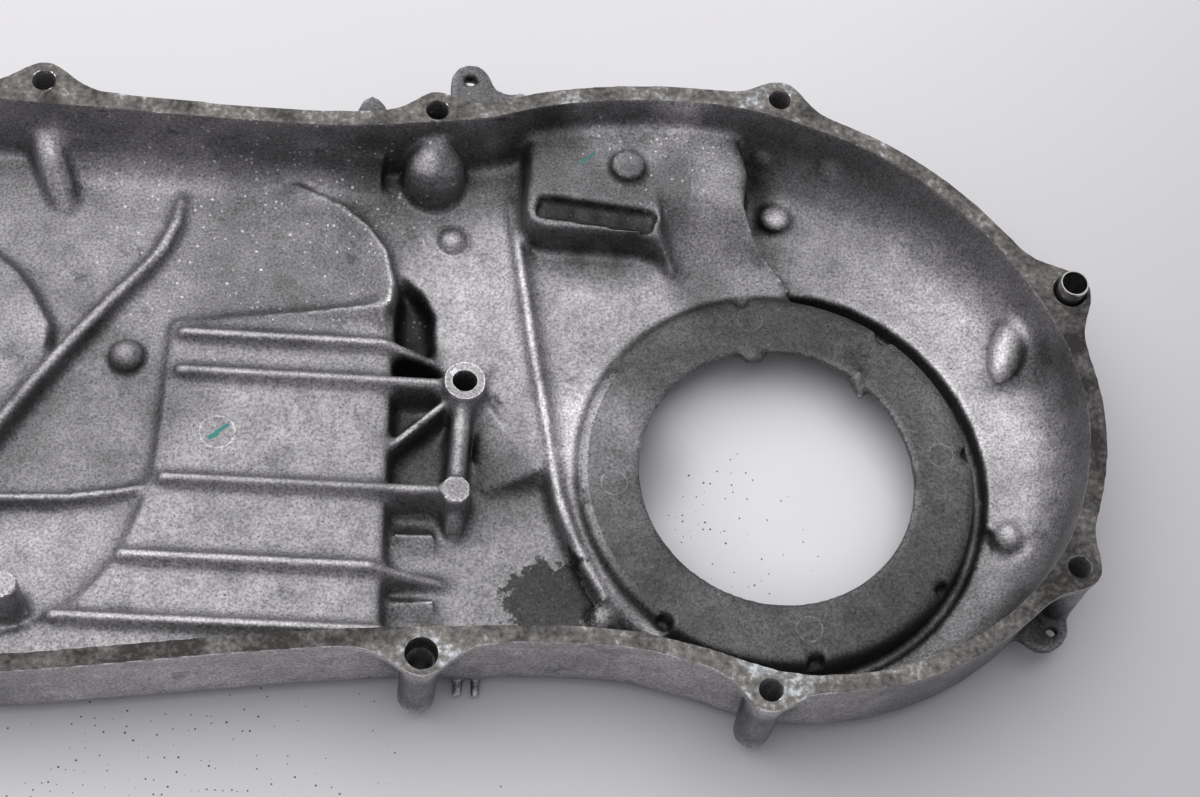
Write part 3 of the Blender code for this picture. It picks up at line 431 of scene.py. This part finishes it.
edges = np.empty(len(skin.data.edges) * 2, dtype=np.int64)
skin.data.edges.foreach_get("vertices", edges)
one, other = edges.reshape(-1, 2).T
neighbours = np.bincount(edges, minlength=count)
start = points.copy()
for step in range(HOLLOW_STEPS):
    mean = np.empty_like(points)
    for axis in range(3):
        mean[:, axis] = (np.bincount(one, points[other, axis], count)
                         + np.bincount(other, points[one, axis], count)) / neighbours
    shift = HOLLOW_PULL * (mean - points)
    hollow = (shift * normals).sum(axis=1) > 0
    points += shift * ((hollow & free) | melted)[:, None]
print("deepest fill in mm:", round(float(np.abs(points - start).max()) / MM, 2))
skin.data.vertices.foreach_set("co", points.ravel())
skin.data.update()
triangles = 2 * len(skin.data.polygons)
apply_modifier(skin, "DECIMATE", ratio=min(1.0, SKIN_TRIANGLES / triangles))
print("after thinning:", len(skin.data.polygons), "triangles")

# %% [markdown]
# ## Machined faces
# The flange and the post were milled after casting. A bisect draws a line round the flange at its true
# height, and every point above the line is then set level with it, so the flange is one plane with crisp
# edges. Points above the post's height are set level in the same way.

# %% Machined faces
POST_REACH = 1.5
SMOOTH_ANGLE = 40

bpy.ops.object.mode_set(mode="EDIT")
bpy.ops.mesh.select_all(action="SELECT")
bpy.ops.mesh.bisect(plane_co=(0, 0, FLANGE_Z * MM), plane_no=(0, 0, 1))
bpy.ops.object.mode_set(mode="OBJECT")
for vert in skin.data.vertices:
    from_post = (vert.co.xy - post.xy).length / MM
    if vert.co.z / MM > FLANGE_Z:
        vert.co.z = FLANGE_Z * MM
    elif from_post < POST_RADIUS + POST_REACH and vert.co.z / MM > POST_Z:
        vert.co.z = POST_Z * MM
bpy.ops.object.shade_smooth_by_angle(angle=math.radians(SMOOTH_ANGLE))
print("skin has", len(skin.data.polygons), "faces")

# %% [markdown]
# ## As-cast aluminium
# The cover is die-cast aluminium alloy. Its skin was shot-blasted, so it is grey and slightly rough, with
# a pitted grain finer than a millimetre. Years of belt dust and oil have darkened the ring round the
# opening and the bowl, and painted shade darkens the far wall and the inner corners. All of this is one grey
# tone that each step multiplies down, or up where its strength is negative. The strokes of paint need one
# helper more: the distance from a straight line between two places.

# %% Helpers for the tone
STROKE_EDGE = 0.3


def darker(tree, tone, amount, strength):
    """The tone multiplied down by a strength where the amount is one."""
    share = add(tree, "ShaderNodeMath", {"operation": "MULTIPLY_ADD"}, {0: amount, 1: -strength, 2: 1.0})
    return add(tree, "ShaderNodeMath", {"operation": "MULTIPLY"},
               {0: tone, 1: share.outputs["Value"]}).outputs["Value"]


def stroke(tree, place, start, end, half):
    """One within half a width of a straight line between two places on the drawing, seen from above."""
    run = at(*end) - at(*start)
    gone = add(tree, "ShaderNodeVectorMath", {"operation": "SUBTRACT"}, {0: place, 1: at(*start)})
    along = add(tree, "ShaderNodeVectorMath", {"operation": "DOT_PRODUCT"},
                {0: gone.outputs["Vector"], 1: run / run.length_squared})
    held = add(tree, "ShaderNodeClamp", {}, {"Value": along.outputs["Value"]})
    foot = add(tree, "ShaderNodeVectorMath", {"operation": "SCALE"},
               {0: run, "Scale": held.outputs["Result"]})
    away = add(tree, "ShaderNodeVectorMath", {"operation": "DISTANCE"},
               {0: gone.outputs["Vector"], 1: foot.outputs["Vector"]})
    fade = add(tree, "ShaderNodeMapRange", {},
               {"Value": away.outputs["Value"], "From Min": half * MM, "From Max": (half + STROKE_EDGE) * MM,
                "To Min": 1.0, "To Max": 0.0})
    return fade.outputs["Result"]


print("a stroke fades over", STROKE_EDGE, "mm")

# %% [markdown]
# The stains are soft spots of dirt and of cleaner metal, with painted light among them: painted shadow in
# the pit beside the plateau, on the deep floor, in the pad's recess and in the pocket beside the pad, and
# painted highlights on the pillar's shoulder, the shelf under the far wall, the bowl rim's end and the bumps
# where the volute starts, while the far wall is painted lighter. Each one has a place on the drawing, the
# radius within which it is full, the radius where it ends, and its strength.

# %% Stains
STAINS_AND_PAINTED_LIGHT = [
    # Painted light: the spot at (-150, 95) makes the far wall lighter.
    ((-150.0, 95.0, 30.0), 18.0, 50.0, -0.25), ((-205.0, 30.0, 12.0), 20.0, 60.0, 0.30),
    ((-206.0, 28.0, 17.0), 8.0, 20.0, -0.35), ((-188.0, 5.0, 12.0), 14.0, 34.0, 0.2),
    ((-140.0, 62.0, 14.0), 18.0, 40.0, 0.45), ((-50.0, 84.0, 26.0), 22.0, 34.0, 0.60),
    ((-104.0, 84.0, 20.0), 8.0, 30.0, 0.45), ((10.0, 88.0, 20.0), 10.0, 36.0, 0.40),
    ((90.0, 30.0, 30.0), 10.0, 30.0, 0.35), ((48.0, -44.0, 8.0), 12.0, 42.0, 0.38),
    ((-178.0, -10.0, 10.0), 4.0, 16.0, 0.25), ((-164.0, 14.0, 14.0), 4.0, 16.0, 0.3),
    ((-75.0, -2.0, 6.0), 4.0, 22.0, 0.45), ((-60.0, -30.0, 4.5), 25.0, 50.0, 0.24),
    # Painted shadow in the pit beside the plateau at (-100, 30) and (-102, 44), and on the deep floor at
    # (-100, 2); painted highlight on the shelf under the far wall at (-203, 84).
    ((-135.0, 0.0, 15.0), 30.0, 60.0, 0.12), ((-100.0, 30.0, 7.0), 6.0, 12.0, 0.85),
    ((-102.0, 44.0, 7.0), 6.0, 11.0, 0.85), ((-85.0, 52.0, 13.0), 14.0, 34.0, -0.15),
    ((-203.0, 84.0, 26.0), 2.0, 7.0, -1.2), ((-100.0, 2.0, 6.0), 6.0, 16.0, 0.5),
    # Painted shadow in the pocket between the pad and the volute, from (-6, 98) to (-3, 72).
    ((-6.0, 98.0, 14.0), 3.0, 9.0, 0.6), ((-5.0, 89.0, 14.0), 3.0, 8.5, 0.6),
    ((-5.0, 80.0, 14.0), 3.0, 8.5, 0.6), ((-3.0, 72.0, 13.0), 3.0, 8.5, 0.6),
    ((-43.1, 87.6, 30.0), 5.0, 6.5, 0.45), ((72.0, 36.0, 20.0), 5.0, 11.0, 0.4),
    ((0.0, 47.0, 15.0), 12.0, 32.0, 0.3), ((-46.0, 0.0, 15.0), 10.0, 34.0, -0.5),
    # Painted shade in the pad's recess: the four spots at a height of 22.5.
    ((-62.0, 74.0, 22.5), 3.0, 6.5, 0.7), ((-55.0, 73.4, 22.5), 3.0, 6.5, 0.7),
    ((-48.0, 72.6, 22.5), 3.0, 6.5, 0.7), ((-40.5, 71.6, 22.5), 3.0, 6.5, 0.7),
    ((-62.0, 65.5, 15.0), 2.0, 6.0, -0.5), ((-50.0, 64.5, 15.0), 2.0, 6.0, -0.5),
    ((-40.0, 63.5, 15.0), 2.0, 6.0, -0.5), ((-96.0, -72.0, 20.0), 8.0, 14.0, 0.55),
    ((-7.4, -77.0, 20.0), 8.0, 14.0, 0.55), ((-88.4, 106.0, 28.0), 10.0, 16.0, 0.55),
    ((-116.0, 98.0, 28.0), 8.0, 12.0, 0.5), ((72.0, -41.0, 11.0), 8.0, 16.0, 0.55),
    ((-42.0, 106.0, 36.0), 15.0, 24.0, -1.6), ((-50.0, 10.0, 15.0), 5.0, 22.0, -0.55),
    ((-21.0, 57.0, 13.0), 4.0, 14.0, 0.5), ((62.0, 35.0, 13.0), 14.0, 40.0, -0.35),
    # Painted highlights on the pillar's shoulder, at the bowl rim's end and on the bumps where the volute
    # starts.
    ((-100.3, 84.5, 27.5), 2.0, 5.0, -1.0), ((-129.5, 80.0, 15.0), 3.0, 9.0, -1.0),
    ((-2.6, 98.5, 20.0), 0.8, 3.0, -1.5), ((1.6, 84.0, 13.5), 2.0, 6.0, -1.6),
    ((16.2, 93.0, 25.0), 1.5, 5.0, -0.8),
]
print("stains:", len(STAINS_AND_PAINTED_LIGHT))

# %% [markdown]
# The base tone is a mottle of several millimetres under a slow change over half a hand's width. The fine
# grain is made here too, because the roughness and the bump use it later.

# %% Base tone
GRAIN = 0.7
MOTTLE = 9.0
BLOTCH, BLOTCH_STRENGTH = 45.0, 0.35

alloy, tree, shader = new_material("die_cast_aluminium_blasted")
place = add(tree, "ShaderNodeTexCoord").outputs["Object"]
grain = add(tree, "ShaderNodeTexNoise", {}, {"Vector": place, "Scale": 1 / (GRAIN * MM), "Detail": 3.0})
mottle = add(tree, "ShaderNodeTexNoise", {},
             {"Vector": place, "Scale": 1 / (MOTTLE * MM), "Detail": 6.0, "Roughness": 0.65})
blotch = add(tree, "ShaderNodeTexNoise", {}, {"Vector": place, "Scale": 1 / (BLOTCH * MM), "Detail": 3.0})
tone = add(tree, "ShaderNodeMapRange", {},
           {"Value": mottle.outputs["Fac"], "From Min": 0.3, "From Max": 0.7,
            "To Min": 0.30, "To Max": 0.52}).outputs["Result"]
tone = darker(tree, tone, blotch.outputs["Fac"], BLOTCH_STRENGTH)
for centre, full, clear, strength in STAINS_AND_PAINTED_LIGHT:
    tone = darker(tree, tone, spot(tree, place, centre, full, clear), strength)
print("mottle, blotch and grain in mm:", MOTTLE, BLOTCH, GRAIN)

# %% [markdown]
# The ring round the opening is dark with rubbed-in belt dust. Its left outer edge carries a painted
# highlight, and a patch of caked dirt with a ragged outline lies on the ring. These follow the ring as seen
# from above, so they read a place with its height set to nothing.

# %% Ring and its dirt
RING_DIRT_FULL, RING_DIRT_CLEAR, RING_DIRT = 55.5, 57.5, 0.70
RING_EDGE, RING_EDGE_HALF, RING_HIGHLIGHT_STRENGTH = 53.6, 1.2, -0.9
RING_HIGHLIGHT_PLACE, RING_HIGHLIGHT_FULL, RING_HIGHLIGHT_CLEAR = (-54.0, -4.0, 15.0), 18.0, 42.0
PATCH_PLACE, PATCH_FULL, PATCH_CLEAR, PATCH_STRENGTH = (-46.6, -23.0, 0.0), 11.5, 13.0, 0.8
PATCH_RAGGED = (0.03, 0.03, 0.0)

flat = add(tree, "ShaderNodeVectorMath", {"operation": "MULTIPLY"}, {0: place, 1: (1.0, 1.0, 0.0)})
flat = flat.outputs["Vector"]
tone = darker(tree, tone, spot(tree, flat, (0.0, 0.0, 0.0), RING_DIRT_FULL, RING_DIRT_CLEAR), RING_DIRT)
away = add(tree, "ShaderNodeVectorMath", {"operation": "DISTANCE"}, {0: flat, 1: at(0.0, 0.0)})
edge = add(tree, "ShaderNodeMath", {"operation": "COMPARE"},
           {0: away.outputs["Value"], 1: RING_EDGE * MM, 2: RING_EDGE_HALF * MM})
# Painted highlight along the ring's left outer edge.
ring_highlight = add(tree, "ShaderNodeMath", {"operation": "MULTIPLY"},
           {0: edge.outputs["Value"], 1: spot(tree, place, RING_HIGHLIGHT_PLACE, RING_HIGHLIGHT_FULL, RING_HIGHLIGHT_CLEAR)})
tone = darker(tree, tone, ring_highlight.outputs["Value"], RING_HIGHLIGHT_STRENGTH)
ragged = add(tree, "ShaderNodeVectorMath", {"operation": "MULTIPLY_ADD"},
             {0: mottle.outputs["Color"], 1: PATCH_RAGGED, 2: flat})
caked = spot(tree, ragged.outputs["Vector"], PATCH_PLACE, PATCH_FULL, PATCH_CLEAR)
tone = darker(tree, tone, caked, PATCH_STRENGTH)
print("ring dirt ends at", RING_DIRT_CLEAR, "mm from the opening's centre")

# %% [markdown]
# Ambient occlusion tells how much of the sky a point is hidden from, so it paints shade into the creases.
# Added to a fine noise, it also makes crumbs of soot where dust settles in inner corners.

# %% Creases and soot
CREASE_REACH, CREASE_SHADE_STRENGTH = 14.0, 0.5
SOOT, SOOT_STRENGTH = 1.6, 0.45

# Painted shade in the creases, from ambient occlusion.
corner = add(tree, "ShaderNodeAmbientOcclusion", {"samples": 6}, {"Distance": CREASE_REACH * MM})
crease_shade = add(tree, "ShaderNodeMapRange", {},
             {"Value": corner.outputs["AO"], "From Min": 0.25, "From Max": 0.95,
              "To Min": 1.0, "To Max": 0.0})
tone = darker(tree, tone, crease_shade.outputs["Result"], CREASE_SHADE_STRENGTH)
soot = add(tree, "ShaderNodeTexNoise", {},
           {"Vector": place, "Scale": 1 / (SOOT * MM), "Detail": 5.0, "Roughness": 0.75})
caught = add(tree, "ShaderNodeMath", {"operation": "MULTIPLY_ADD"},
             {0: crease_shade.outputs["Result"], 1: 0.42, 2: soot.outputs["Fac"]})
grime = add(tree, "ShaderNodeMapRange", {"interpolation_type": "SMOOTHSTEP"},
            {"Value": caught.outputs["Value"], "From Min": 0.66, "From Max": 0.78})
tone = darker(tree, tone, grime.outputs["Result"], SOOT_STRENGTH)
print("soot crumbs in mm:", SOOT)

# %% [markdown]
# Oily smudges of a finger's width lie all over. Steep walls get painted shade and are darker than level
# floors, and sharp crests, which pointiness finds, get a painted highlight. The near outer side, which faces
# forward, gets painted light and is brighter. The fine grain then speckles all of it.

# %% Smudges, painted shade on walls and painted highlights on crests
SMUDGE, SMUDGE_STRENGTH = 12.0, 0.42
STEEP_SHADE_STRENGTH, CREST_HIGHLIGHT_STRENGTH = 0.25, -1.0
NEAR_PLACE, NEAR_FULL, NEAR_CLEAR, NEAR_LIGHT_STRENGTH = (-90.0, -70.0, 20.0), 90.0, 120.0, -0.6

smudge = add(tree, "ShaderNodeTexNoise", {},
             {"Vector": place, "Scale": 1 / (SMUDGE * MM), "Detail": 8.0, "Roughness": 0.7})
smudged = add(tree, "ShaderNodeMapRange", {"interpolation_type": "SMOOTHSTEP"},
              {"Value": smudge.outputs["Fac"], "From Min": 0.57, "From Max": 0.68})
tone = darker(tree, tone, smudged.outputs["Result"], SMUDGE_STRENGTH)
shape = add(tree, "ShaderNodeNewGeometry")
lean = add(tree, "ShaderNodeSeparateXYZ", {}, {"Vector": shape.outputs["Normal"]})
# Painted highlight on sharp crests, found by pointiness.
crest_highlight = add(tree, "ShaderNodeMapRange", {"interpolation_type": "SMOOTHSTEP"},
            {"Value": shape.outputs["Pointiness"], "From Min": 0.505, "From Max": 0.56})
# Painted shade on steep walls: the steeper the face, the darker.
steep_shade = add(tree, "ShaderNodeMapRange", {},
            {"Value": lean.outputs["Z"], "From Min": 0.15, "From Max": 0.75, "To Min": 1.0, "To Max": 0.0})
tone = darker(tree, tone, steep_shade.outputs["Result"], STEEP_SHADE_STRENGTH)
tone = darker(tree, tone, crest_highlight.outputs["Result"], CREST_HIGHLIGHT_STRENGTH)
# Painted light on the near outer side, on faces that turn towards the front.
sides = add(tree, "ShaderNodeMapRange", {},
            {"Value": lean.outputs["Y"], "From Min": -0.6, "From Max": -0.9})
near_side_light = add(tree, "ShaderNodeMath", {"operation": "MULTIPLY"},
                {0: sides.outputs["Result"], 1: spot(tree, place, NEAR_PLACE, NEAR_FULL, NEAR_CLEAR)})
tone = darker(tree, tone, near_side_light.outputs["Value"], NEAR_LIGHT_STRENGTH)
speck = add(tree, "ShaderNodeMapRange", {},
            {"Value": grain.outputs["Fac"], "From Min": 0.3, "From Max": 0.7, "To Min": 0.52, "To Max": 1.5})
tone = add(tree, "ShaderNodeMath", {"operation": "MULTIPLY"},
           {0: tone, 1: speck.outputs["Result"]}).outputs["Value"]
print("smudges in mm:", SMUDGE)

# %% [markdown]
# Ejector pins push a casting out of its die and leave thin circular marks, drawn here as thin bright
# circles: painted highlights on the marks' edges.

# %% Ejector marks
EJECTOR_MARKS = [((-6.9, 47.5), 3.5), ((45.8, 8.4), 3.5), ((7.5, -44.9), 3.5), ((-45.1, -5.2), 3.5),
                 ((-152.4, 3.6), 4.7), ((-91.3, 67.8), 4.7)]
MARK_HALF, MARK_HIGHLIGHT_STRENGTH = 0.22, -0.55

for (x, y), radius in EJECTOR_MARKS:
    away = add(tree, "ShaderNodeVectorMath", {"operation": "DISTANCE"}, {0: flat, 1: at(x, y)})
    line = add(tree, "ShaderNodeMath", {"operation": "COMPARE"},
               {0: away.outputs["Value"], 1: radius * MM, 2: MARK_HALF * MM})
    tone = darker(tree, tone, line.outputs["Value"], MARK_HIGHLIGHT_STRENGTH)
print("ejector marks:", len(EJECTOR_MARKS))

# %% [markdown]
# Blasting and dirt leave small dots. Each is in a cell of a Voronoi pattern, and the cell's random colour
# says how large its bright or dark dot is. The bright ones crowd together in clusters on the far wall. The
# bolt holes' bores are drilled, bright metal.

# %% Dots and bores
BLAST_GAP = 1.5
DARK_DOT_STRENGTH = 0.65
FLECKED_WALL = [((-145.0, 84.0, 26.0), 25.0, 75.0), ((-35.0, 104.0, 34.0), 12.0, 36.0)]
WALL_FLECK, OTHER_FLECK = 0.45, 0.04
BORE_FULL, BORE_CLEAR, BORE_STRENGTH = 3.5, 3.8, -3.0

dots = add(tree, "ShaderNodeTexVoronoi", {}, {"Vector": place, "Scale": 1 / (BLAST_GAP * MM)})
chance = add(tree, "ShaderNodeSeparateColor", {}, {"Color": dots.outputs["Color"]})
bright_radius = add(tree, "ShaderNodeMath", {"operation": "MULTIPLY_ADD"},
                    {0: chance.outputs["Red"], 1: 0.5, 2: -0.2})
dark_radius = add(tree, "ShaderNodeMath", {"operation": "MULTIPLY_ADD"},
                  {0: chance.outputs["Blue"], 1: 0.5, 2: -0.3})
bright_dot = add(tree, "ShaderNodeMath", {"operation": "LESS_THAN"},
                 {0: dots.outputs["Distance"], 1: bright_radius.outputs["Value"]})
dark_dot = add(tree, "ShaderNodeMath", {"operation": "LESS_THAN"},
               {0: dots.outputs["Distance"], 1: dark_radius.outputs["Value"]})
tone = darker(tree, tone, dark_dot.outputs["Value"], DARK_DOT_STRENGTH)
wall = add(tree, "ShaderNodeMath", {"operation": "MAXIMUM"},
           {k: spot(tree, place, *FLECKED_WALL[k]) for k in (0, 1)})
cluster = add(tree, "ShaderNodeMapRange", {},
              {"Value": mottle.outputs["Fac"], "From Min": 0.40, "From Max": 0.52})
thick = add(tree, "ShaderNodeMath", {"operation": "MULTIPLY"},
            {0: wall.outputs["Value"], 1: cluster.outputs["Result"]})
thick = add(tree, "ShaderNodeMath", {"operation": "MULTIPLY_ADD"},
            {0: thick.outputs["Value"], 1: WALL_FLECK, 2: OTHER_FLECK})
tone = add(tree, "ShaderNodeMath", {"operation": "MULTIPLY_ADD"},
           {0: bright_dot.outputs["Value"], 1: thick.outputs["Value"], 2: tone}).outputs["Value"]
for x, y in HOLES:
    tone = darker(tree, tone, spot(tree, flat, (x, y, 0.0), BORE_FULL, BORE_CLEAR), BORE_STRENGTH)
print("one cell of dots in mm:", BLAST_GAP, "bright bores:", len(HOLES))

# %% [markdown]
# The tone turns into a colour with slightly less green in it than red and blue, as the metal has in the
# photograph. Three short strokes of green paint are mixed in last. The grain makes some points rougher
# than others and gives the surface its small pits.

# %% Paint, roughness and bump
METAL_TINT = (1.0, 0.975, 1.0)
PAINT = "#3F7D78"
GREEN_STROKES = [((-154.2, 1.9), (-152.6, 2.9), 0.55), ((-152.6, 3.4), (-149.8, 5.8), 0.4),
                 ((-56.5, 88.6), (-52.6, 92.2), 0.2)]
PIT_DEPTH = 0.2

painted = add(tree, "ShaderNodeVectorMath", {"operation": "SCALE"}, {0: METAL_TINT, "Scale": tone})
painted = painted.outputs["Vector"]
for start, end, half in GREEN_STROKES:
    mixed = add(tree, "ShaderNodeMix", {"data_type": "RGBA"},
                {"Factor": stroke(tree, flat, start, end, half), MIX_A: painted, MIX_B: colour(PAINT)})
    painted = mixed.outputs[MIX_OUT]
tree.links.new(painted, shader.inputs["Base Color"])
shader.inputs["Metallic"].default_value = 0.7
rough = add(tree, "ShaderNodeMapRange", {}, {"Value": grain.outputs["Fac"], "To Min": 0.42, "To Max": 0.6})
tree.links.new(rough.outputs["Result"], shader.inputs["Roughness"])
bump = add(tree, "ShaderNodeBump", {},
           {"Height": grain.outputs["Fac"], "Strength": 0.4, "Distance": PIT_DEPTH * MM})
tree.links.new(bump.outputs["Normal"], shader.inputs["Normal"])
print("nodes in the cast metal:", len(tree.nodes))

# %% [markdown]
# ## Machined flange
# The gasket face was milled flat. Years of damp under the gasket have left it mottled: bare grey metal,
# chalky white oxide in small crumbs, dark pits, and tan traces of old gasket. Two patterns are laid over
# each other, patches of several millimetres and crumbs of one or two, and a ramp of colours turns their
# sum into metal, oxide and gasket. A few soft spots shift the sum, so that the two ends are darker.

# %% Machined flange
PATCH_SIZE, PATCH_SHARE = 9.0, 0.7
CRUMB_SIZE, CRUMB_SHARE = 1.6, 0.8
FLANGE_STAINS = [((-230.0, -75.0, 38.0), 60.0, 190.0, 0.17), ((86.0, 0.0, 38.0), 30.0, 75.0, 0.13),
                 ((-45.0, 105.0, 38.0), 30.0, 80.0, -0.04), ((-96.0, -66.0, 38.0), 6.0, 14.0, -0.1),
                 ((-7.0, -71.0, 38.0), 6.0, 14.0, -0.1)]
FLANGE_RAMP = [(0.52, "#2A2826"), (0.64, "#4A4947"), (0.74, "#636160"), (0.82, "#76726B"),
               (0.90, "#929496"), (0.98, "#C4C7CA")]
CORROSION_DEPTH = 0.15

milled, tree, shader = new_material("milled_aluminium_corroded")
place = add(tree, "ShaderNodeTexCoord").outputs["Object"]
patch = add(tree, "ShaderNodeTexNoise", {},
            {"Vector": place, "Scale": 1 / (PATCH_SIZE * MM), "Detail": 5.0})
crumb = add(tree, "ShaderNodeTexNoise", {},
            {"Vector": place, "Scale": 1 / (CRUMB_SIZE * MM), "Detail": 5.0, "Roughness": 0.7})
fine = add(tree, "ShaderNodeMath", {"operation": "MULTIPLY"}, {0: crumb.outputs["Fac"], 1: CRUMB_SHARE})
mixed = add(tree, "ShaderNodeMath", {"operation": "MULTIPLY_ADD"},
            {0: patch.outputs["Fac"], 1: PATCH_SHARE, 2: fine.outputs["Value"]})
for centre, full, clear, strength in FLANGE_STAINS:
    mixed = add(tree, "ShaderNodeMath", {"operation": "MULTIPLY_ADD"},
                {0: spot(tree, place, centre, full, clear), 1: -strength, 2: mixed.outputs["Value"]})
tone = add(tree, "ShaderNodeValToRGB", {}, {"Fac": mixed.outputs["Value"]})
ramp = tone.color_ramp.elements
for end, (position, shade) in ((0, FLANGE_RAMP[0]), (1, FLANGE_RAMP[-1])):
    ramp[end].position = position
    ramp[end].color = colour(shade)
for position, shade in FLANGE_RAMP[1:-1]:
    ramp.new(position).color = colour(shade)
tree.links.new(tone.outputs["Color"], shader.inputs["Base Color"])
shader.inputs["Metallic"].default_value = 0.55
shader.inputs["Roughness"].default_value = 0.5
bump = add(tree, "ShaderNodeBump", {},
           {"Height": crumb.outputs["Fac"], "Strength": 0.5, "Distance": CORROSION_DEPTH * MM})
tree.links.new(bump.outputs["Normal"], shader.inputs["Normal"])
print("colours on the flange's ramp:", len(ramp))

# %% [markdown]
# Level faces at the flange's height get the milled finish, and all others the cast one. The casting's own
# node is hidden, and the skin rides on the root body in its place.

# %% Two finishes on one piece
LEVEL_LEAN = 0.99
LEVEL_BAND = 0.02

skin.data.materials.clear()
skin.data.materials.append(alloy)
skin.data.materials.append(milled)
for face in skin.data.polygons:
    face.material_index = int(face.normal.z > LEVEL_LEAN and face.center.z / MM > FLANGE_Z - LEVEL_BAND)
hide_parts("cover_casting")
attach(skin, "root")
print("milled faces:", sum(face.material_index for face in skin.data.polygons))

# %% [markdown]
# ## Ground steel dowel
# The dowel is a short hollow sleeve of ground steel, smoother and brighter than the cast metal round it.

# %% Dowel steel
steel, tree, shader = new_material("ground_steel")
shader.inputs["Base Color"].default_value = colour("#C4C2BF")
shader.inputs["Metallic"].default_value = 1.0
shader.inputs["Roughness"].default_value = 0.22
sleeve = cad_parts["locating_dowel"]
for slot in sleeve.material_slots:
    slot.material = steel
print("dowel slots in steel:", len(sleeve.material_slots))
